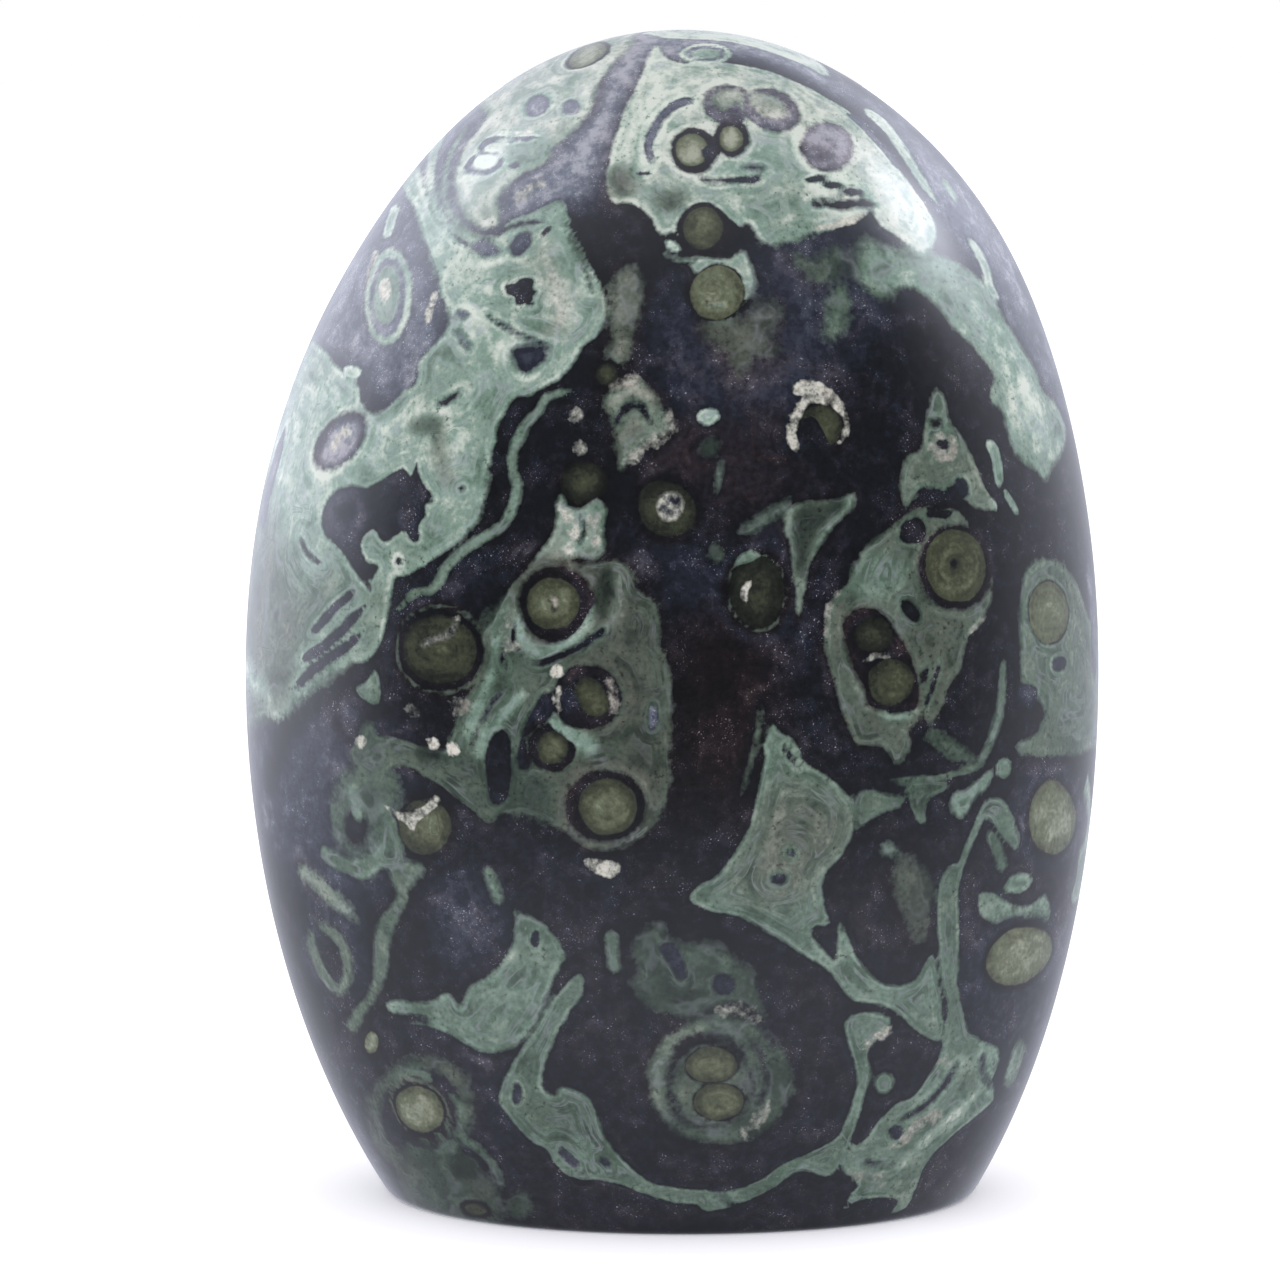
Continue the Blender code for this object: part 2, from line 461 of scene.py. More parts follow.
CENTRE = (
    Spot(D, 0.15, (620, 270), 10, 9),
    Patch(G, 0.55, (
        (612, 285), (626, 266), (640, 274), (641, 300), (633, 330), (628, 360), (618, 370), (608, 360),
        (612, 330), (609, 305)), soft=4, warm=0.9),
    Eye((608, 376), 11, 11, ring=5, tone=0.3, pupil=0.0),
    Patch(G, 0.62, (
        (603, 398), (618, 386), (640, 380), (652, 395), (665, 415), (668, 430), (640, 446), (622, 468),
        (616, 450), (612, 425)), soft=3, warm=0.8),
    Streak(P, 0.5, ((662, 412), (668, 425), (655, 437), (640, 447), (626, 462)), 9, soft=3),
    Streak(P, 0.5, ((610, 392), (620, 384), (640, 382)), 7, soft=3),
    Streak(D, 0.25, ((615, 426), (620, 413), (632, 405), (643, 412), (652, 426)), 7, soft=2),
    Patch(G, 0.62, (
        (874, 254), (886, 245), (898, 252), (898, 265), (886, 268), (878, 264), (872, 285),
        (862, 283)), soft=3),
    Patch(G, 0.5, ((832, 292), (845, 285), (850, 305), (840, 335), (828, 340), (826, 315)), soft=5),
    Patch(G, 0.7, (
        (962, 266), (940, 258), (905, 268), (885, 277), (880, 292), (900, 286), (932, 300), (953, 326),
        (980, 355), (994, 378), (990, 398), (1002, 412), (1014, 452), (1036, 470), (1045, 480), (1052, 466),
        (1062, 452), (1066, 430), (1056, 405), (1042, 388), (1034, 366), (1008, 325), (985, 285)), soft=3),
    Patch(G, 0.88, ((975, 310), (1005, 335), (1035, 390), (1045, 440), (1020, 430), (1005, 385)), soft=5),
    Streak(G, 0.75, ((985, 440), (995, 455), (1000, 490)), 10),
    Streak(G, 0.7, ((975, 480), (985, 495), (998, 512)), 8),
    Streak(G, 0.7, ((1003, 488), (1012, 503), (1018, 515)), 6),
    Patch(G, 0.58, (
        (935, 388), (945, 400), (950, 420), (960, 435), (978, 470), (985, 490), (990, 508), (975, 508),
        (960, 495), (955, 485), (945, 490), (925, 490), (905, 505), (900, 490), (902, 470), (910, 455),
        (922, 448), (928, 410)), soft=1.5, warm=0.4),
    Spot(P, 0.5, (943, 447), 14, 15, soft=1.5),
    Spot(D, 0.2, (942, 444), 6, 6),
    Spot(D, 0.3, (962, 488), 7, 11, 20),
    Streak(D, 0.2, ((917, 497), (922, 490), (935, 489), (948, 494)), 5),
    Spot(D, 0.1, (937, 422), 7, 5, soft=1.5),
    Patch(P, 0.75, (
        (792, 388), (812, 380), (835, 393), (845, 405), (850, 420), (848, 434), (838, 442), (828, 425),
        (812, 412), (800, 418), (796, 430), (798, 450), (791, 447), (787, 425), (803, 398), (795, 396))),
    Eye((822, 425), 21, 21, ring=2, tone=0.4, pupil=0.0),
    Patch(D, 0.15, ((804, 420), (815, 417), (829, 443), (822, 455), (806, 452), (800, 436))),
    Spot(G, 0.85, (709, 417), 12, 8),
    Spot(G, 0.3, (709, 446), 8, 7, soft=3),
    Streak(G, 0.5, ((720, 462), (717, 478), (715, 495)), 4, soft=1.5),
    Eye((667, 510), 31, 26, tilt=-48, ring=3, tone=0.36, pupil=0.0),
    Spot(P, 0.6, (669, 508), 14, 16, soft=2),
    Spot(D, 0.5, (669, 507), 8, 9, soft=2),
    Streak(P, 0.7, ((662, 500), (668, 508), (675, 512)), 5, soft=2),
    Streak(G, 0.45, ((738, 530), (760, 520), (790, 498)), 10, soft=3),
    Spot(G, 0.4, (717, 552), 7, 10, soft=3),
    Spot(D, 0.45, (756, 592), 36, 45, soft=2),
    Spot(D, 0.15, (756, 592), 33, 42, soft=1.5),
    Eye((756, 592), 27, 36, ring=1, halo=2.5, tone=0.26, pupil=-0.1),
    Patch(G, 0.6, ((735, 562), (740, 553), (750, 549), (758, 555), (752, 562), (742, 565))),
    # A painted highlight: this pale streak in the eye is the polish's glint there, painted in as cream
    Streak(P, 0.85, ((750, 580), (743, 591), (744, 605)), 7),
    Patch(G, 0.64, (
        (855, 492), (840, 498), (800, 503), (788, 510), (783, 532), (790, 545), (796, 605), (798, 618),
        (802, 600), (813, 556), (836, 522), (852, 508)), soft=1.5, warm=0.4),
    Patch(G, 0.25, (
        (803, 508), (840, 503), (828, 515), (815, 530), (806, 550), (800, 572), (798, 522)), soft=1.5),
    Eye((585, 484), 24, 22, ring=2, tone=0.2),
    Patch(G, 0.7, (
        (560, 496), (568, 506), (582, 510), (598, 500), (607, 512), (603, 530), (605, 548), (592, 558),
        (574, 556), (552, 562), (532, 576), (526, 570), (552, 534)), soft=1.5, warm=0.5),
    Streak(P, 0.8, ((562, 504), (568, 520), (575, 532), (570, 550)), 9, soft=2),
    Streak(P, 0.6, ((596, 512), (592, 528), (598, 544)), 8, soft=2),
    Streak(D, 0.2, ((580, 516), (584, 530), (580, 546)), 5, soft=1.5),
    Spot(P, 0.5, (575, 416), 6, 7, soft=1.5),
    Spot(P, 0.5, (580, 450), 5, 6, soft=1.5),
)
HEART = (
    Patch(G, 0.47, (
        (612, 560), (628, 568), (636, 590), (655, 602), (661, 625), (657, 645), (666, 660), (670, 690),
        (671, 740), (667, 785), (657, 820), (640, 838), (610, 845), (585, 840), (532, 812), (505, 812),
        (490, 822), (470, 806), (425, 775), (400, 764), (380, 775), (365, 772), (352, 762), (350, 748),
        (360, 738), (385, 735), (430, 750), (445, 748), (452, 730), (462, 705), (474, 685), (481, 660),
        (484, 630), (492, 618), (510, 585), (530, 568), (545, 560), (575, 565)), warm=0.4),
    Patch(G, 0.42, (
        (600, 570), (640, 600), (655, 680), (665, 760), (640, 820), (620, 720),
        (600, 640)), soft=9, warm=0.6),
    Patch(G, 0.36, (
        (470, 760), (520, 770), (560, 780), (560, 820), (520, 810), (485, 800)), soft=6, warm=0.0),
    Patch(G, 0.5, (
        (500, 610), (520, 640), (510, 700), (480, 740), (450, 745), (480, 690),
        (485, 640)), soft=6, warm=0.0),
    Streak(G, 0.75, ((495, 640), (485, 690), (474, 712), (464, 735)), 5),
    Streak(G, 0.7, ((522, 695), (510, 708), (500, 722), (484, 738), (478, 760)), 5),
    Streak(D, 0.5, ((505, 690), (490, 708), (478, 728), (470, 750)), 4, soft=1.5),
    Patch(D, 0.2, (
        (500, 732), (508, 732), (512, 745), (512, 785), (506, 802), (494, 802), (488, 785), (486, 760),
        (490, 742))),
    Eye((441, 650), 37, 34, tilt=-20, halo=3, tone=0.42, pupil=-0.1),
    Streak(P, 0.35, ((420, 648), (434, 640), (448, 635), (457, 621)), 8, soft=3),
    Spot(G, 0.5, (560, 602), 46, 44, soft=2, warm=0.9),
    Spot(D, 0.3, (556, 604), 39, 39, soft=2, warm=0.8),
    Streak(G, 0.75, (
        (518, 618), (520, 636), (532, 649), (550, 650), (570, 641), (585, 626), (591, 610)), 6),
    Eye((553, 604), 27, 26, ring=5, tone=0.56, pupil=0.05),
    Streak(P, 0.6, ((549, 597), (557, 604), (553, 613)), 6, soft=2),
    Streak(D, 0.3, ((528, 663), (545, 662), (570, 653), (592, 641), (606, 628)), 7),
    Spot(G, 0.15, (607, 594), 9, 24),
    Streak(G, 0.7, ((616, 570), (621, 588), (617, 608), (610, 625)), 6, soft=2, warm=0.8),
    Streak(P, 0.4, ((508, 612), (507, 632), (512, 650)), 7, soft=3),
    Streak(D, 0.2, ((515, 620), (513, 640), (520, 654)), 5),
    Streak(D, 0.2, ((498, 648), (502, 660), (507, 672)), 6),
    Spot(G, 0.5, (590, 697), 40, 38, soft=2, warm=0.9),
    Spot(D, 0.2, (588, 697), 34, 33, soft=1.5, warm=0.6),
    Streak(P, 0.4, ((608, 678), (614, 697), (611, 715)), 7, soft=2),
    Eye((592, 697), 15, 21, tilt=20, ring=2, tone=0.45, pupil=0.0),
    Spot(D, 0.25, (569, 700), 10, 10),
    Streak(P, 0.7, ((563, 684), (556, 697), (560, 712)), 4),
    Spot(P, 0.85, (558, 672), 6, 7),
    Patch(D, 0.3, (
        (538, 700), (548, 692), (556, 702), (550, 716), (540, 728), (534, 745), (534, 765), (520, 770),
        (520, 750), (526, 725))),
    Eye((552, 747), 16, 18, halo=2, tone=0.42, pupil=0.15),
    Patch(G, 0.75, ((548, 716), (560, 720), (590, 742), (592, 752), (582, 752), (570, 740), (554, 727))),
    Spot(G, 0.48, (606, 806), 47, 43, soft=2, warm=0.9),
    Spot(D, 0.25, (606, 806), 41, 37, soft=1.5, warm=0.8),
    Eye((608, 806), 29, 29, ring=4, tone=0.58, pupil=0.0),
    Spot(D, 0.7, (654, 716), 5, 14),
    Patch(P, 0.8, ((583, 862), (592, 858), (618, 862), (618, 870), (606, 875))),
    Spot(G, 0.2, (428, 752), 10, 6),
    Spot(P, 0.95, (432, 743), 8, 5, -40),
    Spot(P, 1.0, (451, 749), 7, 7),
    Spot(P, 0.3, (414, 709), 6, 5, soft=2),
    Spot(P, 0.3, (460, 705), 9, 6, soft=2),
)
LEFT_FLANK = (
    Patch(G, 0.42, (
        (340, 778), (365, 760), (395, 775), (400, 800), (385, 825), (372, 850), (345, 850),
        (335, 815)), soft=6),
    Streak(D, 0.12, ((268, 790), (280, 742), (303, 708), (335, 690), (368, 694), (390, 720)), 15, soft=4),
    Spot(D, 0.1, (350, 716), 20, 21, soft=3),
    Spot(D, 0.5, (350, 714), 8, 9, soft=3),
    Spot(D, 0.2, (357, 828), 12, 19, soft=3),
    Spot(G, 0.4, (368, 733), 8, 12, soft=2),
    Patch(G, 0.6, ((356, 690), (368, 680), (379, 668), (381, 700), (370, 703))),
    Spot(P, 0.8, (360, 741), 7, 5, 30),
    Patch(G, 0.55, (
        (385, 806), (397, 828), (402, 850), (398, 866), (380, 868), (365, 880), (345, 872), (325, 862),
        (322, 845), (350, 858), (365, 856), (375, 845), (378, 825)), soft=1.5),
    Streak(G, 0.6, ((352, 788), (357, 805), (359, 822)), 11, soft=1.5),
    Streak(G, 0.45, ((333, 800), (336, 825), (342, 845)), 7, soft=1.5),
    Eye((425, 827), 27, 28, ring=2, tone=0.55, pupil=0.0),
    Patch(P, 0.75, (
        (384, 806), (395, 812), (408, 812), (422, 806), (436, 797), (439, 804), (418, 822), (412, 834),
        (405, 825))),
    Patch(G, 0.5, (
        (388, 862), (412, 862), (424, 870), (410, 885), (402, 910), (390, 945), (388, 965), (375, 1000),
        (368, 1010), (356, 1030), (346, 1024), (367, 995), (373, 975), (376, 930), (396, 900),
        (392, 885)), soft=2, warm=0.3),
    Streak(D, 0.5, ((298, 862), (318, 884), (362, 925)), 24, soft=5),
    Streak(G, 0.72, ((300, 866), (315, 882), (358, 919)), 13, soft=4, warm=0.6),
    Spot(D, 0.45, (333, 955), 30, 44, 20, soft=5),
    Streak(G, 0.6, (
        (316, 923), (336, 934), (348, 958), (347, 982), (336, 990), (322, 972), (312, 948),
        (312, 930)), 10, soft=3, warm=0.5),
    Spot(D, 0.1, (331, 956), 10, 20, 20, soft=2),
    Patch(G, 0.62, (
        (386, 1003), (400, 1000), (418, 1003), (432, 1000), (447, 993), (455, 998), (460, 1008), (466, 995),
        (478, 982), (490, 976), (508, 955), (514, 925), (513, 908), (518, 912), (530, 916), (552, 932),
        (566, 953), (560, 968), (538, 1018), (527, 1035), (515, 1046), (482, 1052), (450, 1034),
        (430, 1026), (408, 1022), (428, 1020), (420, 1014), (395, 1014)), soft=1.5),
    Streak(G, 0.55, ((485, 868), (492, 885), (500, 902)), 10, soft=2),
    Spot(D, 0.3, (535, 938), 5, 9),
)
FOOT_BANDS = (
    Patch(G, 0.58, (
        (578, 975), (585, 980), (580, 1000), (558, 1030), (543, 1075), (545, 1092), (555, 1095),
        (560, 1088), (588, 1100), (605, 1142), (640, 1176), (665, 1186), (700, 1190), (735, 1188),
        (760, 1180), (785, 1163), (832, 1140), (845, 1122), (858, 1078), (848, 1040), (846, 1022),
        (855, 1014), (870, 1012), (890, 1020), (870, 1050), (872, 1075), (865, 1095), (858, 1120),
        (840, 1165), (825, 1176), (812, 1170), (795, 1172), (770, 1190), (735, 1205), (705, 1212),
        (698, 1205), (670, 1202), (605, 1181), (575, 1178), (555, 1165), (548, 1150), (530, 1138),
        (500, 1105), (500, 1085), (510, 1065), (525, 1045), (552, 1000))),
    Patch(G, 0.5, ((530, 1100), (580, 1105), (595, 1140), (570, 1135), (540, 1120)), soft=4),
    Spot(D, 0.45, (516, 1094), 5, 12),
    Patch(D, 0.45, ((560, 1145), (581, 1166), (572, 1168), (560, 1156))),
    Spot(D, 0.5, (605, 1164), 9, 4, -40),
    Spot(D, 0.5, (722, 1197), 12, 3.5),
    Streak(P, 0.6, ((868, 1045), (880, 1035), (890, 1022)), 7, soft=2),
    Spot(G, 0.55, (884, 1084), 9, 11),
    Patch(G, 0.33, (
        (638, 935), (660, 922), (668, 938), (690, 945), (712, 942), (738, 962), (752, 970), (758, 985),
        (760, 1000), (768, 1015), (758, 1012), (742, 1002), (725, 1002), (705, 1010), (690, 1015),
        (650, 1008), (630, 985), (640, 975), (632, 955)), soft=3),
    Patch(D, 0.45, ((658, 948), (672, 943), (683, 958), (687, 976), (678, 979))),
    Spot(D, 0.4, (724, 984), 12, 11),
    Streak(G, 0.5, ((612, 930), (612, 950), (612, 975)), 12, soft=1.5),
    Spot(G, 0.4, (720, 1079), 72, 64, soft=3, warm=0.3),
    Patch(D, 0.4, (
        (670, 1050), (700, 1035), (735, 1040), (748, 1060), (752, 1095), (735, 1120), (700, 1128),
        (672, 1110)), soft=3),
    Spot(G, 0.42, (712, 1086), 40, 42, soft=3, warm=0.5),
    Streak(D, 0.2, (
        (684, 1116), (672, 1094), (671, 1074), (678, 1056), (692, 1046), (712, 1043), (732, 1050),
        (742, 1068)), 6, soft=2),
    Streak(G, 0.62, ((664, 1112), (656, 1085), (660, 1060), (675, 1040), (700, 1028)), 7, soft=3, warm=0.6),
    Streak(D, 0.35, ((752, 1040), (764, 1060), (766, 1085), (756, 1105)), 6, soft=3),
    Eye((711, 1065), 27, 17, ring=1.5, tone=0.6, pupil=0.0),
    Eye((719, 1102), 24, 19, ring=1.5, tone=0.6, pupil=0.0),
    Streak(P, 0.4, ((718, 1012), (732, 1009), (745, 1011), (758, 1021)), 7, soft=3),
    Streak(P, 0.3, ((765, 1105), (755, 1122), (742, 1134)), 8, soft=3),
    Streak(D, 0.4, ((758, 1020), (768, 1034), (776, 1048)), 6, soft=3),
    Spot(G, 0.36, (420, 1112), 52, 58, -20, soft=5, warm=0.5),
    Spot(D, 0.3, (420, 1112), 40, 44, -20, soft=3),
    Patch(G, 0.34, (
        (400, 1150), (450, 1150), (490, 1180), (500, 1215), (460, 1225), (420, 1210),
        (400, 1180)), soft=5, warm=0.4),
    Streak(G, 0.5, ((392, 1087), (403, 1074), (420, 1072), (432, 1082)), 9, soft=1.5),
    Patch(G, 0.42, (
        (405, 1140), (430, 1150), (450, 1140), (465, 1150), (457, 1165), (470, 1182), (455, 1200),
        (440, 1212), (415, 1198), (418, 1175), (428, 1165), (410, 1150)), soft=2),
    Streak(G, 0.45, (
        (448, 1092), (460, 1108), (463, 1138), (480, 1150), (495, 1168), (502, 1190)), 8, soft=2),
    Eye((420, 1109), 26, 21, tilt=-38, ring=4, halo=4, tone=0.74, pupil=0.0),
    Eye((371, 1042), 7, 11, tilt=-15, ring=3, tone=0.75, pupil=0.0),
    Spot(G, 0.15, (467, 1167), 13, 9, soft=2),
    Eye((476, 1209), 12, 6, ring=5, tone=0.4, pupil=0.0),
    Spot(G, 0.3, (520, 1205), 12, 14, soft=3),
    Patch(G, 0.6, (
        (942, 1050), (975, 1040), (995, 1045), (998, 1060), (992, 1080), (994, 1098), (985, 1108),
        (932, 1155), (915, 1190), (908, 1206), (892, 1213), (898, 1198), (862, 1198), (845, 1209),
        (850, 1195), (858, 1182), (845, 1172), (842, 1160), (850, 1150), (868, 1138), (880, 1120),
        (895, 1105), (915, 1095), (938, 1062))),
    Streak(P, 0.5, ((895, 1145), (910, 1135), (918, 1122), (945, 1110)), 8, soft=2),
    Streak(G, 0.8, ((905, 1165), (925, 1140), (950, 1120), (975, 1095)), 6, soft=2, warm=0.3),
    Streak(D, 0.35, ((900, 1120), (925, 1105), (945, 1085), (958, 1062)), 5, soft=2),
    Streak(P, 0.4, ((850, 1172), (870, 1180), (890, 1178)), 8, soft=3),
    Spot(D, 0.4, (897, 1132), 8, 7),
    Spot(P, 0.5, (934, 1118), 8, 5, soft=2),
    Spot(P, 0.5, (946, 1062), 5, 7, soft=2),
    Streak(D, 0.4, ((862, 1160), (880, 1165), (900, 1162)), 6, soft=2),
    Streak(D, 0.5, ((985, 1050), (982, 1070), (990, 1090)), 6, soft=2),
    Streak(G, 0.6, ((1022, 1040), (1015, 1062), (1006, 1088)), 12, soft=3),
)
RIGHT_FLANK = (
    Patch(G, 0.6, (
        (772, 722), (782, 735), (795, 742), (805, 760), (822, 772), (850, 798), (855, 812), (852, 835),
        (842, 855), (828, 870), (822, 885), (825, 905), (830, 922), (815, 925), (812, 935), (836, 962),
        (838, 945), (842, 922), (857, 958), (880, 982), (900, 985), (915, 980), (925, 965), (932, 955),
        (938, 970), (942, 1010), (944, 1030), (938, 1040), (912, 1028), (900, 1015), (880, 1004),
        (850, 998), (820, 965), (745, 920), (715, 912), (690, 900), (700, 885), (720, 872), (748, 830),
        (762, 780), (768, 758), (765, 745), (770, 735))),
    Patch(G, 0.58, (
        (778, 790), (800, 785), (830, 805), (845, 822), (838, 845), (815, 865), (800, 890), (775, 905),
        (745, 895), (735, 880), (752, 855), (765, 825)), soft=6, warm=0.7),
    Spot(D, 0.35, (790, 851), 5, 4),
    Spot(D, 0.4, (779, 878), 8, 6),
    Streak(D, 0.3, ((783, 745), (792, 757), (800, 768)), 6),
    Streak(G, 0.45, ((762, 700), (758, 740), (742, 795)), 5, soft=2),
    Patch(G, 0.34, (
        (900, 855), (912, 860), (925, 875), (932, 895), (925, 935), (918, 940), (908, 925),
        (894, 885)), soft=4, warm=0.5),
    Spot(G, 0.55, (887, 850), 8, 7, soft=2),
    Patch(G, 0.5, ((856, 794), (880, 792), (904, 797), (895, 808), (875, 815), (858, 830)), soft=1.5),
    Patch(G, 0.55, (
        (946, 868), (958, 862), (965, 845), (982, 806), (992, 798), (1003, 800), (1012, 815), (1020, 838),
        (1012, 848), (990, 818), (982, 822), (974, 842), (960, 880), (960, 960), (958, 990), (968, 1030),
        (980, 1038), (960, 1052), (943, 1048), (948, 1010), (943, 985), (937, 900))),
    Streak(G, 0.5, ((885, 780), (940, 777), (985, 765)), 7),
    Patch(G, 0.48, (
        (905, 782), (935, 780), (950, 785), (940, 795), (928, 800), (925, 824), (914, 815), (908, 795))),
    Patch(G, 0.64, (
        (950, 802), (955, 793), (968, 790), (990, 770), (993, 778), (984, 790), (975, 798), (968, 812),
        (960, 818), (952, 812)), soft=2),
    Streak(G, 0.5, ((1005, 655), (1001, 705), (988, 748), (975, 764)), 8, soft=1.5),
    Patch(G, 0.5, (
        (862, 552), (885, 530), (915, 508), (950, 508), (965, 520), (972, 538), (985, 560), (992, 580),
        (990, 600), (978, 625), (968, 635), (962, 668), (950, 682), (940, 715), (928, 722), (920, 715),
        (915, 728), (905, 732), (912, 745), (897, 766), (888, 752), (878, 745), (862, 745), (852, 735),
        (838, 700), (826, 660), (823, 640), (830, 600), (848, 582)), soft=1.5, warm=0.5),
    Patch(G, 0.6, ((860, 560), (900, 560), (905, 590), (880, 600), (850, 590)), soft=4),
    Streak(P, 0.5, ((826, 640), (826, 618), (832, 598), (843, 587)), 4),
    Streak(P, 0.5, ((987, 612), (975, 627), (964, 636)), 4),
    Patch(D, 0.1, ((897, 536), (903, 522), (917, 516), (925, 525), (922, 541), (906, 543))),
    Spot(D, 0.3, (955, 568), 38, 43, 8, soft=2, warm=0.5),
    Eye((955, 566), 31, 36, tilt=8, ring=2, tone=0.62, pupil=-0.25),
    Spot(D, 0.1, (954, 565), 4, 5, soft=2),
    Streak(D, 0.1, ((925, 514), (938, 512), (952, 517)), 10),
    Patch(D, 0.22, (
        (850, 612), (862, 606), (882, 612), (906, 645), (918, 690), (917, 708), (905, 715), (870, 705),
        (862, 690), (852, 672), (843, 628)), soft=1.5, warm=0.8),
    Eye((873, 634), 19, 18, ring=2, tone=0.22, pupil=0.0),
    Eye((890, 682), 23, 23, ring=3, tone=0.45, pupil=0.0),
    Streak(P, 0.5, ((862, 664), (875, 656), (890, 655)), 5),
    Streak(G, 0.65, ((884, 713), (898, 718), (913, 713)), 5),
    Spot(D, 0.15, (911, 611), 14, 7, -50),
    Streak(D, 0.2, ((940, 660), (932, 685), (924, 712)), 5),
    Streak(D, 0.2, ((925, 665), (922, 685)), 5),
    Patch(G, 0.4, ((925, 736), (945, 732), (975, 758), (960, 762), (940, 752)), soft=2),
    Patch(G, 0.54, (
        (1025, 575), (1040, 560), (1060, 562), (1078, 585), (1090, 620), (1120, 660), (1120, 720),
        (1085, 752), (1040, 757), (1020, 754), (1016, 745), (1035, 735), (1045, 715), (1040, 700),
        (1022, 680), (1022, 650), (1020, 620)), soft=2, warm=0.3),
    Eye((1049, 612), 20, 31, ring=1.5, tone=0.72, pupil=-0.1),
    Spot(D, 0.4, (1029, 692), 9, 8),
    Spot(D, 0.4, (1059, 664), 8, 8),
    Spot(G, 0.6, (1004, 768), 8, 10),
    Streak(D, 0.6, ((1088, 560), (1093, 620), (1095, 680)), 5, soft=2),
    Streak(G, 0.65, ((1088, 770), (1082, 870), (1072, 905)), 9, soft=2),
    Streak(G, 0.5, ((989, 830), (998, 850), (1003, 872)), 11, soft=1.5),
    Spot(G, 0.65, (1018, 884), 15, 10, 25, soft=1.5),
    Patch(G, 0.6, (
        (980, 892), (995, 893), (1010, 905), (1030, 905), (1045, 895), (1050, 915), (1035, 925),
        (1010, 918), (995, 925), (980, 912)), soft=1.5),
    Spot(D, 0.4, (1052, 818), 36, 50, soft=4),
    Eye((1052, 818), 24, 37, ring=2, tone=0.74, pupil=0.0),
    Spot(D, 0.4, (1019, 955), 48, 38, 35, soft=4),
    Eye((1019, 955), 36, 26, tilt=35, ring=2, tone=0.78, pupil=-0.1),
)
FACE = PAINTED_REFLECTION_AND_FIELDS + LEFT_CROWN + SHOULDER + CROWN_CAP + CENTRE + HEART + LEFT_FLANK + FOOT_BANDS + RIGHT_FLANK


def rounded(corners: tuple[Pixel, ...], closed: bool, steps: int = 4) -> np.ndarray:
    """A smooth curve through corners.

    Args:
        corners: the places that it passes.
        closed: whether it comes back to its start.
        steps: how many points it has for each corner.

    Returns:
        Its points, in rows.
    """
    points = np.array(corners, float)
    if closed:
        ring = np.vstack([points[-1:], points, points[:2]])
    else:
        ring = np.vstack([2 * points[0] - points[1], points, 2 * points[-1] - points[-2]])
    a, b, c, d = ring[:-3, None], ring[1:-2, None], ring[2:-1, None], ring[3:, None]
    t = (np.arange(steps) / steps)[None, :, None]
    bow, swing = 2 * a - 5 * b + 4 * c - d, 3 * b - a - 3 * c + d
    curve = (0.5 * (2 * b + (c - a) * t + bow * t**2 + swing * t**3)).reshape(-1, 2)
    return curve if closed else np.vstack([curve, points[-1:]])


def oval(mark: Spot | Eye, corners: int = 20) -> np.ndarray:
    """The outline of a spot or of an eye's core, in pixels."""
    turn = np.arange(corners) * 2 * math.pi / corners
    tilt = math.radians(mark.tilt)
    right = np.array((math.cos(tilt), -math.sin(tilt)))
    up = np.array((-math.sin(tilt), -math.cos(tilt)))
    return mark.middle + mark.wide * np.cos(turn)[:, None] * right + mark.tall * np.sin(turn)[:, None] * up


def ribbon(mark: Streak) -> np.ndarray:
    """The outline of a streak, which thins out to both of its ends, in pixels."""
    line = rounded(mark.path, closed=False)
    run = np.gradient(line, axis=0)
    side = np.column_stack([-run[:, 1], run[:, 0]]) / np.linalg.norm(run, axis=1)[:, None]
    share = np.linspace(-1, 1, len(line))
    half = 0.5 * mark.width * np.sqrt(1 - share**mark.TAPER)[:, None]
    return np.vstack([line + side * half, (line - side * half)[::-1]])


def outline_of(mark: Mark | Eye) -> np.ndarray:
    """The closed outline of any marking, in pixels."""
    if isinstance(mark, Patch):
        return rounded(mark.outline, closed=True)
    return ribbon(mark) if isinstance(mark, Streak) else oval(mark)


def depth_inside(points: np.ndarray, loop: np.ndarray) -> np.ndarray:
    """How far points are inside a closed loop; outside it the distance is negative."""
    nothing = 1e-12
    run = np.roll(loop, -1, axis=0) - loop
    away = points[:, None] - loop[None]
    share = np.clip((away * run).sum(2) / np.maximum((run * run).sum(1), nothing), 0, 1)
    gap = np.linalg.norm(away - share[..., None] * run, axis=2).min(1)
    left = run[:, 0] * away[..., 1] - run[:, 1] * away[..., 0]
    below = away[..., 1] >= 0
    above = away[..., 1] - run[:, 1] < 0
    turns = (below & above & (left > 0)).sum(1) - (~below & ~above & (left < 0)).sum(1)
    return np.where(turns != 0, gap, -gap)


def sway(places: np.ndarray, size: float, height: float) -> np.ndarray:
    """A smooth random shift for each place, up to about height; size is that of its waves, in metres."""
    return np.array([height * noise.noise_vector(Vector(place) / size) for place in places])


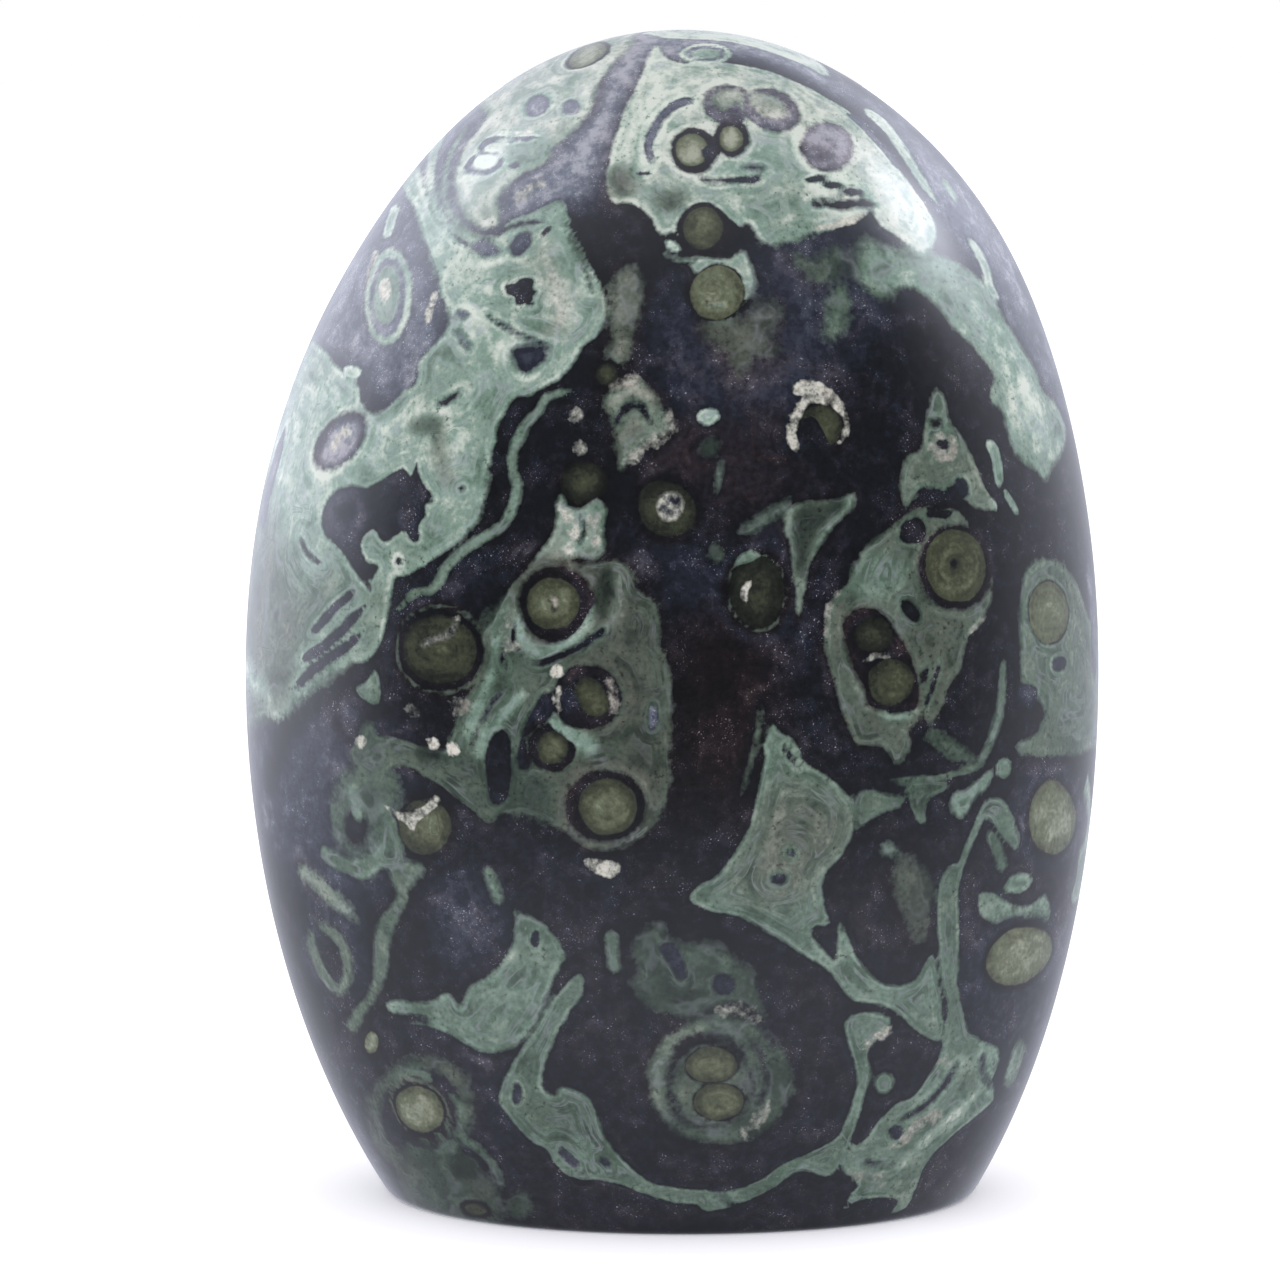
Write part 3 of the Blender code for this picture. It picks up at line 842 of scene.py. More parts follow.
@dataclass
class Skin:
    """What every point of the skin carries for the jasper.

    The distances green, pale and eye are in millimetres, positive inside those minerals. The tones
    sage, dusk, cream and core run from 0 dark to 1 pale, and zone from 0 in an eye's middle to 1 at
    its rim.
    """

    count: int
    layers: dict[str, np.ndarray] = field(init=False)

    FAR: ClassVar[float] = 4.0
    START: ClassVar[dict[str, float]] = {
        "green": -4.0, "pale": -4.0, "eye": -4.0,
        "sage": 0.5, "dusk": 0.15, "cream": 0.7, "core": 0.5, "zone": 1.0, "warm": 0.15}
    # Besides the dark ground's own tone, dusk carries the painted reflection of the broad face's first
    # patches
    TONES: ClassVar[dict[Mineral, str]] = {D: "dusk", G: "sage", P: "cream"}
    TONE_REACH: ClassVar[float] = 0.3
    HALO: ClassVar[Mark] = Mark(G, 0.45, warm=0.8)
    RING: ClassVar[Mark] = Mark(D, 0.08, warm=0.35)
    LEAST_CORE: ClassVar[float] = 0.2

    def __post_init__(self) -> None:
        """Lays bare ground everywhere."""
        self.layers = {name: np.full(self.count, value) for name, value in self.START.items()}

    def tint(
        self, name: str, where: np.ndarray, depth: np.ndarray, tone: np.ndarray | float, soft: float = 1.0
    ) -> None:
        """Sets a tone inside a marking and a little past its border.

        Args:
            name: the tone's layer.
            where: the points that the marking may reach.
            depth: how far each of them is inside it, in millimetres.
            tone: the tone.
            soft: how soft its border is; 1 is sharp.
        """
        share = np.clip(0.5 + (depth + self.TONE_REACH) / (0.5 * soft), 0, 1)
        layer = self.layers[name]
        layer[where] += share * (tone - layer[where])

    def cover(self, mark: Mark, where: np.ndarray, depth: np.ndarray) -> None:
        """Lays a marking over all that is there; where and depth are those of tint."""
        mineral = mark.mineral
        edge = np.clip(depth / mark.soft, -self.FAR, self.FAR)
        for name, own in (("green", G), ("pale", P), ("eye", None)):
            layer = self.layers[name]
            if mineral is own:
                layer[where] = np.maximum(layer[where], edge)
            elif not (mineral is P and own is G):
                layer[where] = np.minimum(layer[where], -edge)
        self.tint(self.TONES[mineral], where, depth, mark.tone, mark.soft)
        self.tint("warm", where, depth, mark.warm, mark.soft)

    def set_eye(self, where: np.ndarray, depth: np.ndarray, eye: Eye) -> None:
        """Sets an eye into the ground, given how far each point is inside its core."""
        ring, halo = eye.ring / PIXELS_PER_MM, eye.halo / PIXELS_PER_MM
        if halo > 0:
            self.cover(self.HALO, where, depth + ring + halo)
        self.cover(self.RING, where, depth + ring)
        inner = np.clip(depth / max(depth.max(), self.LEAST_CORE), 0, 1)
        layer = self.layers["eye"]
        layer[where] = np.maximum(layer[where], np.clip(depth, -self.FAR, self.FAR))
        self.tint("core", where, depth, eye.tone + eye.pupil * inner)
        self.tint("zone", where, depth, 1 - inner)

    def blend(self, other: "Skin", share: np.ndarray) -> None:
        """Goes over into another skin by a share of 0 to 1 for each point."""
        for name, layer in self.layers.items():
            layer += share * (other.layers[name] - layer)


@dataclass(frozen=True)
class Jasper:
    """The finish: near black, sage green and cream stone with olive eyes, under one waxed polish.

    The colours of each mineral run from its darkest to its palest tone. The sizes from ragged to flow
    are those of its grain, in millimetres; the three after them say how fine each grain breaks up.
    """

    # The paler colours of dark serve both the stone's grey marks and the painted reflection that lies on the
    # broad face's dark ground
    dark: tuple[str, ...] = ("#040508", "#0a0d14", "#171b27", "#2e3340", "#515663", "#85878f")
    wine: tuple[str, ...] = ("#080506", "#160e10", "#291f22", "#40383c", "#5d575d", "#85818a")
    green: tuple[str, ...] = ("#0b110d", "#1b261f", "#2e3b32", "#495c4f", "#70867a", "#b4bdb2")
    taupe: tuple[str, ...] = ("#0e0e0c", "#20201b", "#34352e", "#50534a", "#7a7d72", "#b0b1aa")
    cream: tuple[str, ...] = ("#454845", "#666863", "#87887f", "#bab7ad")
    olive: tuple[str, ...] = ("#0b0d09", "#1c2018", "#363a29", "#565c47", "#858a7a")
    rose: str = "#84726c"
    frost: str = "#9a9ca4"
    ragged: float = 0.9
    mottle: float = 1.7
    cloud: float = 6.0
    fine: float = 0.4
    speck: float = 0.17
    flow: float = 4.0
    detail: float = 3.0
    flow_detail: float = 2.0
    grit: float = 0.55
    roughness: float = 0.24
    ior: float = 1.54

    # Agate banding: the flow noise runs fast across a border and slowly along it
    FLOW_WAY: ClassVar[str] = "across = 0.006 * green"
    # First where each mineral is, with chewed borders, then the tones of green, ground, cream and eyes
    STEPS: ClassVar[str] = """
        rag = ragged - 0.5
        mot = mottle - 0.5
        clo = cloud - 0.5
        fin = fine - 0.5
        spe = speck - 0.5
        flo = flow - 0.5
        lumps = mot + clo
        patch = held(3.5 * lumps + 0.2)
        green_edge = green + 0.14 * fin + 0.38 * rag
        pale_edge = pale + 0.9 * rag
        eye_edge = eye + 0.25 * rag
        is_green = held(green_edge * maximum(14 * clo + 5, 2) + 0.5)
        is_eye = held(7 * eye_edge + 0.5)
        rim = held(1 - 5 * absolute(green_edge - 0.25))
        pit = held(-9 * fin - 0.8) * patch
        sage_tone = sage + 0.5 * flo + 0.55 * mot + 0.3 * fin - 0.25 * pit + 0.06 * rim
        vein = held(1 - 16 * absolute(flo)) * held(0.4 - 4 * lumps)
        frosted = vein * held(0.6 * sage - 0.08)
        warmth = held(warm - 0.08 + mot + 1.2 * flo + clo)
        wisp = held(7 * flo - 0.5) * held(0.4 * green_edge + 1)
        hollow = held(2.2 * green_edge + 1)
        fleck = held(14 * spe - 1.4) * held(4 * lumps + 0.4)
        dusk_deep = dusk - 0.1 * hollow + 0.22 * patch + 0.4 * fin + 0.4 * rag
        dusk_tone = dusk_deep + 0.2 * wisp + 0.6 * fleck
        cream_tone = cream + 0.8 * fin + 0.8 * rag + 0.3 * spe
        grain = 0.7 * held(cream + 2.6 * (fin + rag + 0.4 * spe) + 0.05) + 0.3
        is_pale = held(4 * pale_edge + 0.5) * grain
        core_tone = core + 0.5 * flo + 0.5 * fin + 0.5 * mot - 0.3 * (zone * zone) + 0.1
        rosy = held(4 * clo - 0.2)
        rough = roughness + 0.08 * fin
    """

    def build(self) -> bpy.types.Material:
        """Makes the material.

        Returns:
            The material, named for the stone.
        """
        # The jasper reads as dark green stone because its near black ground and olive eyes lie
        # between banded sage green fields, all under one even polish without a metal's tint.
        finish = bpy.data.materials.new("kambaba_jasper_polished")
        finish.use_nodes = True
        tree = finish.node_tree
        tree.nodes.clear()
        place = add_node(tree, "ShaderNodeTexCoord").outputs["Object"]
        known = {"roughness": self.roughness}
        for name in Skin.START:
            known[name] = add_node(tree, "ShaderNodeAttribute", attribute_name=name).outputs["Fac"]
        work_out(tree, known, self.FLOW_WAY)
        for name in ("ragged", "mottle", "cloud", "fine", "speck", "flow"):
            feeds = {"Vector": place, "Scale": 1 / (getattr(self, name) * MM)}
            feeds.update({"Detail": self.detail, "Roughness": self.grit})
            if name == "flow":
                feeds.update({"W": known["across"], "Detail": self.flow_detail})
            grain = add_node(tree, "ShaderNodeTexNoise", feeds, noise_dimensions="4D")
            known[name] = grain.outputs["Fac"]
        work_out(tree, known, self.STEPS)

        def scale(tone: bpy.types.NodeSocket, colours: tuple[str, ...]) -> bpy.types.NodeSocket:
            """The colour of a tone, among evenly spaced colours."""
            ramp = add_node(tree, "ShaderNodeValToRGB", {"Fac": tone})
            stops = ramp.color_ramp.elements
            while len(stops) < len(colours):
                stops.new(0.5)
            for i, colour in enumerate(colours):
                stops[i].position = i / (len(colours) - 1)
            for stop, colour in zip(stops, colours):
                stop.color = linear(colour)
            return ramp.outputs["Color"]

        def mix(share: bpy.types.NodeSocket, under: object, over: object) -> bpy.types.NodeSocket:
            """A share of one colour over another; the node's inputs 6 and 7 are its colours."""
            feeds = {0: share, 6: under, 7: over}
            return add_node(tree, "ShaderNodeMix", feeds, data_type="RGBA").outputs[2]

        dusk, sage, warmth = known["dusk_tone"], known["sage_tone"], known["warmth"]
        ground = mix(warmth, scale(dusk, self.dark), scale(dusk, self.wine))
        field_colour = mix(warmth, scale(sage, self.green), scale(sage, self.taupe))
        field_colour = mix(known["frosted"], field_colour, linear(self.frost))
        cream = mix(known["rosy"], scale(known["cream_tone"], self.cream), linear(self.rose))
        colour = mix(known["is_green"], ground, field_colour)
        colour = mix(known["is_pale"], colour, cream)
        colour = mix(known["is_eye"], colour, scale(known["core_tone"], self.olive))
        surface = add_node(
            tree, "ShaderNodeBsdfPrincipled",
            {"Base Color": colour, "Roughness": known["rough"], "IOR": self.ior, "Metallic": 0.0})
        add_node(tree, "ShaderNodeOutputMaterial", {"Surface": surface.outputs["BSDF"]})
        return finish


@dataclass(frozen=True)
class Growth:
    """The rule by which the sides and the back are marked.

    Clouds are soft hazes. The cells are dark, in a green network, and every second one holds a wide
    island instead of a small field. Sizes, gaps and widths are in millimetres, an eye's ring and
    halo in pixels. Where a size is a pair, it is drawn from between the two.
    """

    clouds: int = 14
    cloud_size: Span = (5, 9)
    cloud_tone: Span = (0.4, 0.6)
    cloud_soft: float = 9
    warm: Span = (0, 0.5)
    tries: int = 4000
    cells: int = 30
    cell_gap: float = 18
    cell_share: Span = (0.75, 1.25)
    ripple: float = 4
    net: Mark = Mark(G, 0.55)
    net_width: float = 1.0
    net_bend: float = 0.75
    net_ripple: float = 2.5
    astray: Span = (-2, 2)
    island_size: Span = (7.0, 10.0)
    field_size: Span = (3.5, 6.0)
    squash: Span = (0.7, 1.3)
    margin: float = 6
    tone: Span = (0.42, 0.66)
    heart_tone: float = 0.8
    heart_depth: float = 0.4
    band: Mark = Mark(D, 0.2, soft=2, warm=0.5)
    band_width: float = 0.35
    band_depth: float = 0.25
    island_eyes: int = 4
    eye_squash: Span = (0.8, 1.25)
    eye_size: Span = (1.4, 2.6)
    eye_ring: Span = (3, 9)
    eye_halo: float = 3
    eye_tone: Span = (0.45, 0.75)
    specks: int = 4
    speck_size: float = 0.6
    speck_squash: tuple[float, float, float] = (1, 1, 0.4)


@dataclass
class Stone:
    """The polished stone. The sizes are those of part.py, in metres."""

    half_width: float = 0.0366
    half_depth: float = 0.0275
    height: float = 0.100
    girth: float = 0.0448
    belly: float = 0.0616
    edge_height: float = 0.0007
    edge_inset: float = 0.0005
    foot_lean: float = 0.0008
    shoulder_lean: float = 0.0006
    waves: float = 0.00004
    seed: int = 11
    finish: Jasper = field(default_factory=Jasper)
    growth: Growth = field(default_factory=Growth)
    view: Viewpoint = field(default_factory=Viewpoint)

    SIDES: ClassVar[int] = 101
    RISE: ClassVar[int] = 196
    WAVE_SCALE: ClassVar[float] = 140.0
    HALVINGS: ClassVar[int] = 14
    LEAST_FRONT: ClassVar[float] = 1e-3
    MARK_REACH: ClassVar[float] = 3.0
    # The waves that bend the back's cells, and the ripples that roughen borders: their size in
    # metres and their height in millimetres
    BEND: ClassVar[Span] = (0.014, 4)
    RIPPLES: ClassVar[tuple[Span, Span]] = ((0.005, 0.3), (0.0016, 0.14))
    # The back takes over from the front over SEAM_WIDTH past SEAM, on flatten's scale from -1 to 1
    SEAM: ClassVar[float] = 0.12
    SEAM_WIDTH: ClassVar[float] = 0.2
    SEAM_SWAY: ClassVar[float] = 0.1
    INPUTS: ClassVar[tuple[str, ...]] = (
        "half_width", "half_depth", "height", "girth", "belly", "edge_height", "edge_inset",
        "foot_lean", "shoulder_lean", "waves")
    # Turns in radians, and the powers of part.py's curves
    NUMBERS: ClassVar[dict[str, float]] = {
        "eighth": math.pi / 4, "quarter": math.pi / 2, "half_turn": math.pi, "dome_power": 2.04,
        "dome_root": 1 / 2.04, "belly_power": 2.05, "section_power": 2 / 2.06}
    # From a cube's point to the skin: turn is the way round, denser at the broad face; climb runs
    # from -2 in the foot's middle up to 2 at the crown, in these three stages.
    STAGES: ClassVar[dict[str, Span]] = {"foot": (-2, -1.31), "edge": (-1.31, -1.24), "body": (-1.24, 2)}
    BODY: ClassVar[str] = """
        reach = maximum(absolute(x), absolute(y))
        reach_safe = maximum(reach, 0.000001)
        even = arctan2(tangent(y / reach_safe * eighth), tangent(x / reach_safe * eighth))
        turn = even - 0.25 * cosine(even)
        climb = z + sign(z) * (1 - reach)
        inner = held(climb * foot_rate + foot_start)
        edge = held(climb * edge_rate + edge_start) * quarter
        edge_z = (1 - cosine(edge)) * edge_height
        inset = (1 - sine(edge)) * edge_inset
        rise = held(climb * body_rate + body_start)
        drop = girth - edge_height
        dome = height - girth
        start = arcsine(drop / belly)
        level = sine(rise * (start + quarter) - start)
        new_z = drop + maximum(level, 0) * dome + minimum(level, 0) * belly + edge_z
        above = new_z - girth
        up = maximum(above / dome, 0)
        down = absolute(minimum(above / belly, 0))
        share = held(1 - up ** dome_power) ** dome_root * sqrt(held(1 - down ** belly_power))
        wide = (share * half_width - inset) * inner
        deep = (share * half_depth - inset) * inner
        cos = cosine(turn)
        sin = sine(turn)
        lean = 1 - cosine(up * quarter) - sine(minimum(new_z / girth, 1) * quarter) + 1
        hump = sine(up * up * half_turn)
        flat_x = wide * (absolute(cos) ** section_power * sign(cos))
        new_x = flat_x + lean * foot_lean + hump * hump * shoulder_lean
        new_y = deep * (absolute(sin) ** section_power * sign(sin))
    """
    # The hand polish left faint hollows, none of them at the foot
    POLISH: ClassVar[str] = """
        fade = held(z * 250)
        shift = (wave - 1) * waves * fade
    """

    def grow(self) -> bpy.types.NodeTree:
        """Makes the node tree of the body."""
        tree = bpy.data.node_groups.new("stone_body", "GeometryNodeTree")
        for name in self.INPUTS:
            tree.interface.new_socket(name, in_out="INPUT", socket_type="NodeSocketFloat")
        tree.interface.new_socket("seed", in_out="INPUT", socket_type="NodeSocketFloat")
        tree.interface.new_socket("finish", in_out="INPUT", socket_type="NodeSocketMaterial")
        tree.interface.new_socket("stone", in_out="OUTPUT", socket_type="NodeSocketGeometry")
        given = add_node(tree, "NodeGroupInput").outputs
        known = self.NUMBERS | {name: given[name] for name in self.INPUTS}
        for name, (low, high) in self.STAGES.items():
            known[name + "_rate"] = 1 / (high - low)
            known[name + "_start"] = low / (low - high)
        counts = {"Vertices X": self.SIDES, "Vertices Y": self.SIDES, "Vertices Z": self.RISE}
        cube = add_node(tree, "GeometryNodeMeshCube", {"Size": (2.0, 2.0, 2.0), **counts})
        here = add_node(tree, "GeometryNodeInputPosition").outputs[0]
        parts = add_node(tree, "ShaderNodeSeparateXYZ", {0: here}).outputs
        known.update(x=parts[0], y=parts[1], z=parts[2])
        work_out(tree, known, self.BODY)
        skin = add_node(
            tree, "ShaderNodeCombineXYZ", {0: known["new_x"], 1: known["new_y"], 2: known["new_z"]})
        formed = add_node(
            tree, "GeometryNodeSetPosition", {"Geometry": cube.outputs["Mesh"], "Position": skin.outputs[0]})
        feeds = {"Vector": here, "W": given["seed"], "Scale": self.WAVE_SCALE, "Detail": 1.0}
        wave = add_node(tree, "ShaderNodeTexNoise", feeds, noise_dimensions="4D")
        known["wave"] = wave.outputs["Fac"]
        work_out(tree, known, self.POLISH)
        outward = add_node(tree, "GeometryNodeInputNormal").outputs[0]
        offset = add_node(
            tree, "ShaderNodeVectorMath", {0: outward, "Scale": known["shift"]}, operation="SCALE")
        polished = add_node(
            tree, "GeometryNodeSetPosition", {"Geometry": formed.outputs[0], "Offset": offset.outputs[0]})
        smooth = add_node(tree, "GeometryNodeSetShadeSmooth", {"Geometry": polished.outputs[0]})
        real = add_node(tree, "GeometryNodeRealizeInstances", {"Geometry": smooth.outputs[0]})
        dressed = add_node(
            tree, "GeometryNodeSetMaterial", {"Geometry": real.outputs[0], "Material": given["finish"]})
        add_node(tree, "NodeGroupOutput", {0: dressed.outputs[0]})
        return tree

    def build(self) -> bpy.types.Object:
        """Grows the body and turns it into a plain mesh.

        Returns:
            The stone, at the origin.
        """
        seedling = bpy.data.objects.new("seedling", bpy.data.meshes.new("seedling"))
        bpy.context.scene.collection.objects.link(seedling)
        modifier = seedling.modifiers.new("body", "NODES")
        modifier.node_group = self.grow()
        values = {name: getattr(self, name) for name in self.INPUTS}
        values.update(seed=float(self.seed), finish=self.finish.build())
        for socket in modifier.node_group.interface.items_tree:
            if socket.in_out == "INPUT":
                modifier[socket.identifier] = values[socket.name]
        graph = bpy.context.evaluated_depsgraph_get()
        mesh = bpy.data.meshes.new_from_object(seedling.evaluated_get(graph))
        bpy.data.objects.remove(seedling)
        mesh.name = "stone"
        stone = bpy.data.objects.new("stone", mesh)
        bpy.context.scene.collection.objects.link(stone)
        return stone

    def flatten(self, places: np.ndarray) -> tuple[np.ndarray, np.ndarray]:
        """Maps the skin flat; in the middle of the broad face the map is true to size.

        Args:
            places: points of the skin, in metres.

        Returns:
            The points of the map, in millimetres, and how far back each one lies, from -1 to 1.
        """
        rise = places[:, 2] - self.girth
        reach = np.where(rise > 0, self.height - self.girth, self.belly)
        ball = np.column_stack(
            [places[:, 0] / self.half_width, places[:, 1] / self.half_depth, rise / reach])
        ball /= np.linalg.norm(ball, axis=1)[:, None]
        back = ball[:, 1]
        wide = ball[:, 0] * self.half_width / MM
        tall = ball[:, 2] * reach / MM
        return np.column_stack([wide, tall]) * 2 / np.maximum(1 - back, self.LEAST_FRONT)[:, None], back

    def land(self, tree: BVHTree, x: float, y: float) -> Vector:
        """Where a pixel of the view lands on the skin; past the rim it goes on round the back."""
        hit = tree.ray_cast(self.view.place, self.view.ray(x, y))[0]
        if hit:
            return hit
        middle = PIXELS / 2
        inside, outside = 0.0, 1.0
        for _ in range(self.HALVINGS):
            share = (inside + outside) / 2
            aim = self.view.ray(middle + share * (x - middle), middle + share * (y - middle))
            if tree.ray_cast(self.view.place, aim)[0]:
                inside = share
            else:
                outside = share
        share = 2 * inside - 1
        aim = self.view.ray(middle + share * (x - middle), middle + share * (y - middle))
        return tree.ray_cast(self.view.place + 2 * self.view.distance * aim, -aim)[0]

    def mark_face(self, skin: Skin, mesh: bpy.types.Mesh, places: np.ndarray, ripple: np.ndarray) -> None:
        """Lays the drawn markings on the skin.

        Args:
            skin: the skin's layers.
            mesh: the stone's mesh.
            places: its points, in metres.
            ripple: a shift of each point, in millimetres, which keeps the borders from being smooth.
        """
        tree = BVHTree.FromPolygons([v.co for v in mesh.vertices], [p.vertices for p in mesh.polygons])
        reach = self.MARK_REACH
        flat, back = self.flatten(places)
        flat += ripple[:, (0, 2)]
        shrink = (1 - back) / 2
        for mark in FACE:
            landed = np.array([self.land(tree, x, y) for x, y in outline_of(mark).tolist()])
            loop = self.flatten(landed)[0]
            near = np.all((flat > loop.min(0) - reach) & (flat < loop.max(0) + reach), axis=1)
            where = np.flatnonzero(near)
            if len(where) == 0:
                LOG.warning("a marking misses the skin: %s", mark)
                continue
            depth = depth_inside(flat[where], loop) * shrink[where]
            if isinstance(mark, Eye):
                skin.set_eye(where, depth, mark)
            else:
                skin.cover(mark, where, depth)

    def mark_back(self, skin: Skin, places: np.ndarray, bend: np.ndarray, ripple: np.ndarray) -> None:
        """Grows dark cells in a green network, and wide green islands, with ringed eyes in both.

        Args:
            skin: the skin's layers.
            places: the skin's points, in metres.
            bend: a slow shift of each point, in millimetres.
            ripple: a quick shift of each point, in millimetres.
        """
        rule = self.growth
        chance = np.random.default_rng(self.seed)
        spots = places / MM + bend + rule.ripple * ripple
        everywhere = np.arange(len(places))
        for one in chance.integers(0, len(places), rule.clouds):
            depth = chance.uniform(*rule.cloud_size) - np.linalg.norm(spots - spots[one], axis=1)
            tone, warm = chance.uniform(*rule.cloud_tone), chance.uniform(*rule.warm)
            skin.cover(Mark(D, tone, soft=rule.cloud_soft, warm=warm), everywhere, depth)
        tries = chance.integers(0, len(places), rule.tries)
        centres = [tries[0]]
        for one in tries:
            gaps = np.linalg.norm(spots[centres] - spots[one], axis=1)
            if gaps.min() > rule.cell_gap and len(centres) < rule.cells:
                centres.append(one)
        sizes = chance.uniform(*rule.cell_share, len(centres))
        away = np.linalg.norm(spots[:, None] - spots[centres][None], axis=2) / sizes
        first, second = np.sort(away, axis=1)[:, :2].T
        width = rule.net_width + rule.net_bend * bend[:, 0] + rule.net_ripple * ripple[:, 1]
        skin.cover(rule.net, everywhere, width - (second - first) / 2)
        for number, centre in enumerate(centres):
            is_island = number % 2 == 0
            middle = spots[centre] + chance.uniform(*rule.astray, 3)
            wide = chance.uniform(*(rule.island_size if is_island else rule.field_size))
            apart = np.linalg.norm((spots - middle) * chance.uniform(*rule.squash, 3), axis=1)
            where = np.flatnonzero(apart < wide + rule.margin)
            depth = wide - apart[where]
            tone, warm = chance.uniform(*rule.tone), chance.uniform(*rule.warm)
            skin.cover(Mark(G, tone, warm=warm), where, depth)
            heart = Mark(G, rule.heart_tone * tone, soft=6, warm=0.9)
            skin.cover(heart, where, depth - rule.heart_depth * wide)
            if not is_island:
                skin.cover(rule.band, where, rule.band_width - np.abs(depth - rule.band_depth * wide))
            inner = where[depth > rule.heart_depth * depth.max()]
            for _ in range(rule.island_eyes if is_island else 1):
                middle, shape = spots[chance.choice(inner)], chance.uniform(*rule.eye_squash, 3)
                apart = np.linalg.norm((spots[where] - middle) * shape, axis=1)
                depth = chance.uniform(*rule.eye_size) - apart
                ring, tone = chance.uniform(*rule.eye_ring), chance.uniform(*rule.eye_tone)
                skin.set_eye(where, depth, Eye((0, 0), 0, 0, ring=ring, halo=rule.eye_halo, tone=tone))
            for _ in range(rule.specks):
                middle = spots[chance.choice(where)]
                apart = np.linalg.norm((spots[where] - middle) * rule.speck_squash, axis=1)
                speck = Mark(chance.choice([D, G, P]), 0.5, warm=0.3)
                skin.cover(speck, where, rule.speck_size - apart)

    def dress(self, stone: bpy.types.Object) -> None:
        """Writes the markings onto the stone's points."""
        mesh = stone.data
        places = np.empty(3 * len(mesh.vertices))
        mesh.vertices.foreach_get("co", places)
        places = places.reshape(-1, 3)
        noise.seed_set(self.seed)
        bend = sway(places, *self.BEND)
        ripple = sum(sway(places, *size_and_height) for size_and_height in self.RIPPLES)
        skin, behind = Skin(len(places)), Skin(len(places))
        self.mark_face(skin, mesh, places, ripple)
        self.mark_back(behind, places, bend, ripple)
        back = self.flatten(places)[1] + self.SEAM_SWAY * (ripple[:, 0] + bend[:, 2])
        share = np.clip((back - self.SEAM) / self.SEAM_WIDTH, 0, 1)
        skin.blend(behind, share * share * (3 - 2 * share))
        for name, layer in skin.layers.items():
            mesh.attributes.new(name, "FLOAT", "POINT").data.foreach_set("value", layer)


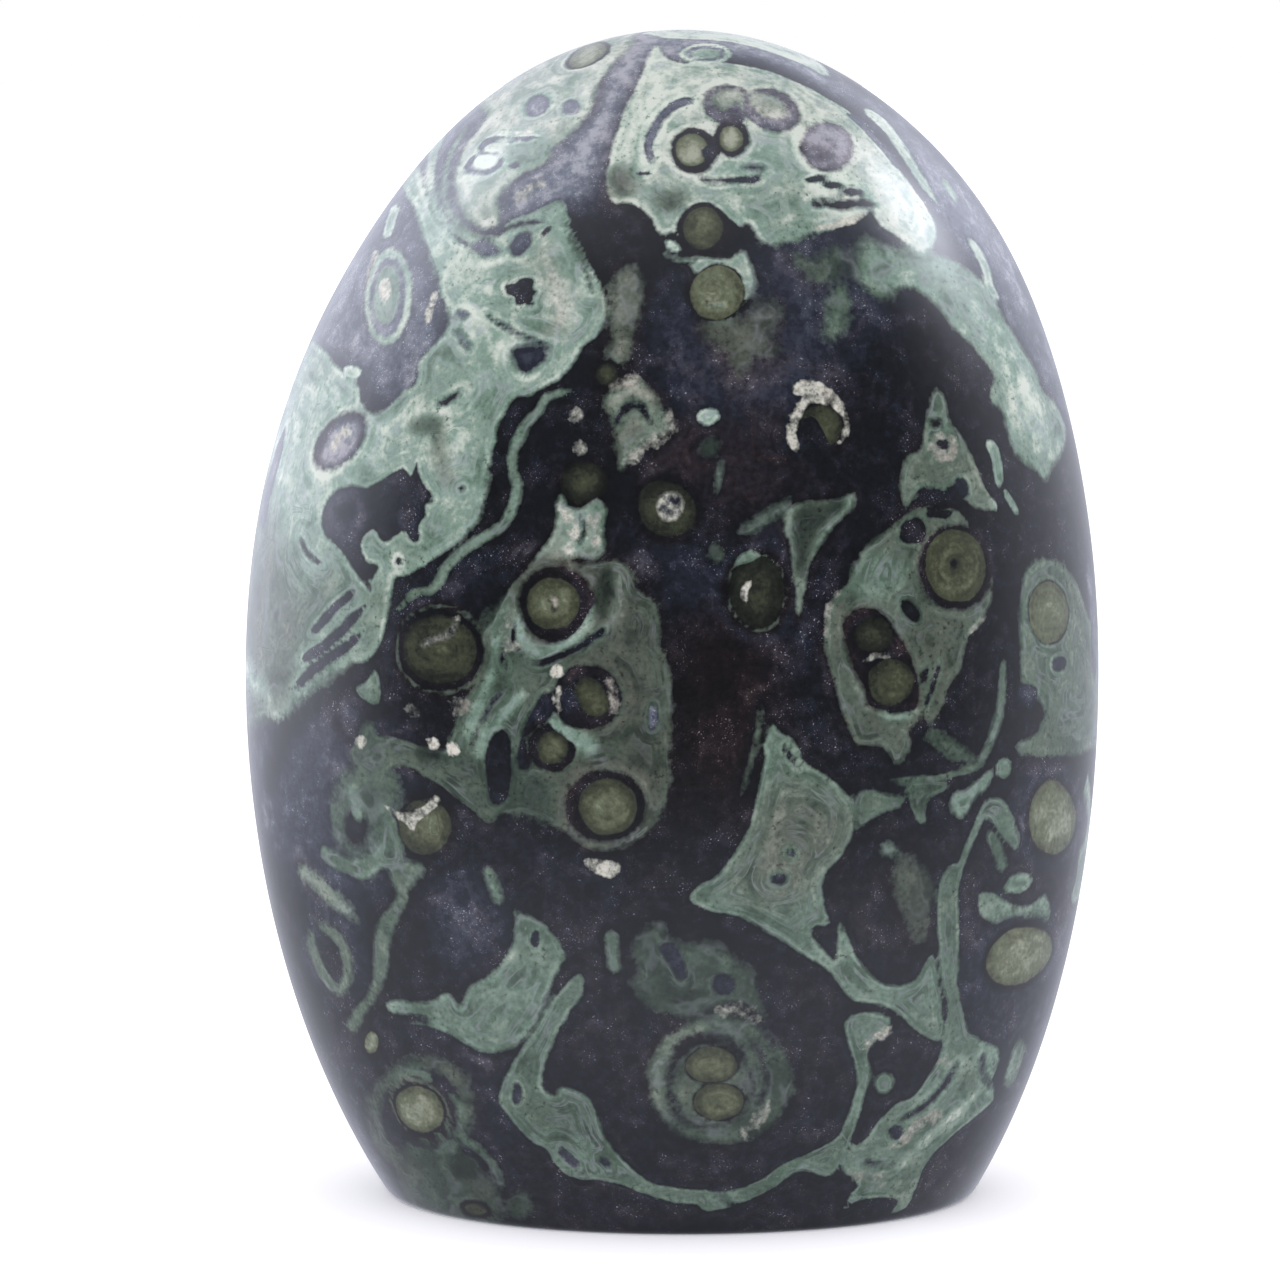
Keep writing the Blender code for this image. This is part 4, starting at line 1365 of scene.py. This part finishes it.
@dataclass
class Studio:
    """A plain pale floor in a white tent, which is open, and so dark, on the camera's side.

    The stone is lit by the even tent. What it mirrors has the tent's opening, the floor and three
    soft boxes in it: key, fill and pane are the ways toward them.
    """

    floor_size: float = 8.0
    floor_colour: str = "#f4f3f6"
    floor_glow: float = 0.25
    glow_colour: str = "#f6f6ff"
    backdrop: str = "#ffffff"
    tent: float = 1.45
    tent_colour: str = "#fdfdff"
    mirrored_colour: str = "#e4e7f6"
    key: tuple[float, float, float] = (-0.66, 0.14, 0.74)
    fill: tuple[float, float, float] = (0.62, 0.60, 0.50)
    pane: tuple[float, float, float] = (0.76, 0.12, 0.63)

    # x is 1 to the right, y is -1 toward the camera's side and z is -1 straight down. The floor is
    # mirrored darker right in front, where the camera shades it, and straight down, in its own shadow.
    MIRRORED: ClassVar[str] = """
        ahead = held(0.2 - 1.6 * y)
        low = held(0.5 * y - 0.4 - 4.2 * z)
        high = held(2.5 * z - 1.3)
        open = 1.15 - ahead * (1 - low) * (1 - high)
        shadow = 1 - 0.6 * held(-2 * z - 0.9)
        left = held(-1.4 * x - 0.1) * (1 - ahead) * (1 - low)
        walls = open * shadow + 1.9 * left
        key_face = maximum(key_share, 0)
        fill_face = maximum(fill_share, 0)
        pane_face = maximum(pane_share, 0)
        with_key = walls + 2.5 * key_face ** 70 + 3 * key_face ** 9
        mirrored = with_key + 3 * fill_face ** 16 + 16 * pane_face ** 50
    """

    def build(self) -> bpy.types.Object:
        """Lays the floor.

        Returns:
            The floor.
        """
        half = self.floor_size / 2
        mesh = bpy.data.meshes.new("floor")
        corners = [(-half, -half, 0), (half, -half, 0), (half, half, 0), (-half, half, 0)]
        mesh.from_pydata(corners, [], [(0, 1, 2, 3)])
        paper = bpy.data.materials.new("matte_paper")
        paper.use_nodes = True
        surface = paper.node_tree.nodes["Principled BSDF"].inputs
        surface["Base Color"].default_value = linear(self.floor_colour)
        surface["Roughness"].default_value = 1.0
        surface["Specular IOR Level"].default_value = 0.0
        # The paper glows a little, as pale paper right under a tent looks when it is lit from all over
        surface["Emission Color"].default_value = linear(self.glow_colour)
        surface["Emission Strength"].default_value = self.floor_glow
        mesh.materials.append(paper)
        floor = bpy.data.objects.new("floor", mesh)
        # The stone mirrors the tent, which is drawn down to below the floor
        floor.visible_glossy = False
        bpy.context.scene.collection.objects.link(floor)
        return floor

    def dress(self) -> None:
        """Puts up the tent."""
        world = bpy.data.worlds.new("tent")
        world.use_nodes = True
        tree = world.node_tree
        tree.nodes.clear()
        way = add_node(tree, "ShaderNodeTexCoord").outputs["Generated"]
        parts = add_node(tree, "ShaderNodeSeparateXYZ", {0: way}).outputs
        known = {"x": parts[0], "y": parts[1], "z": parts[2]}
        for name in ("key", "fill", "pane"):
            toward = Vector(getattr(self, name)).normalized()
            dot = add_node(tree, "ShaderNodeVectorMath", {0: way, 1: toward}, operation="DOT_PRODUCT")
            known[name + "_share"] = dot.outputs["Value"]
        work_out(tree, known, self.MIRRORED)
        rays = add_node(tree, "ShaderNodeLightPath").outputs
        looks = (
            (self.tent_colour, self.tent), (self.mirrored_colour, known["mirrored"]), (self.backdrop, 1.0))
        walls = [
            add_node(tree, "ShaderNodeBackground", {"Color": linear(colour), "Strength": glow}).outputs[0]
            for colour, glow in looks
        ]
        light = add_node(tree, "ShaderNodeMixShader", {0: rays["Is Glossy Ray"], 1: walls[0], 2: walls[1]})
        both = add_node(
            tree, "ShaderNodeMixShader", {0: rays["Is Camera Ray"], 1: light.outputs[0], 2: walls[2]})
        add_node(tree, "ShaderNodeOutputWorld", {"Surface": both.outputs[0]})
        bpy.context.scene.world = world


def main() -> None:
    """Builds the stone and its studio."""
    logging.basicConfig(level=logging.INFO)
    studio = Studio()
    studio.build()
    studio.dress()
    LOG.info("studio: floor and tent")
    stone = Stone()
    piece = stone.build()
    stone.dress(piece)
    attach(piece, "root")
    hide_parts("stone")
    LOG.info("stone: %d points, %d faces", len(piece.data.vertices), len(piece.data.polygons))
    stone.view.add_camera()
    bpy.context.scene.view_settings.view_transform = "Standard"


if __name__ == "__main__":
    main()
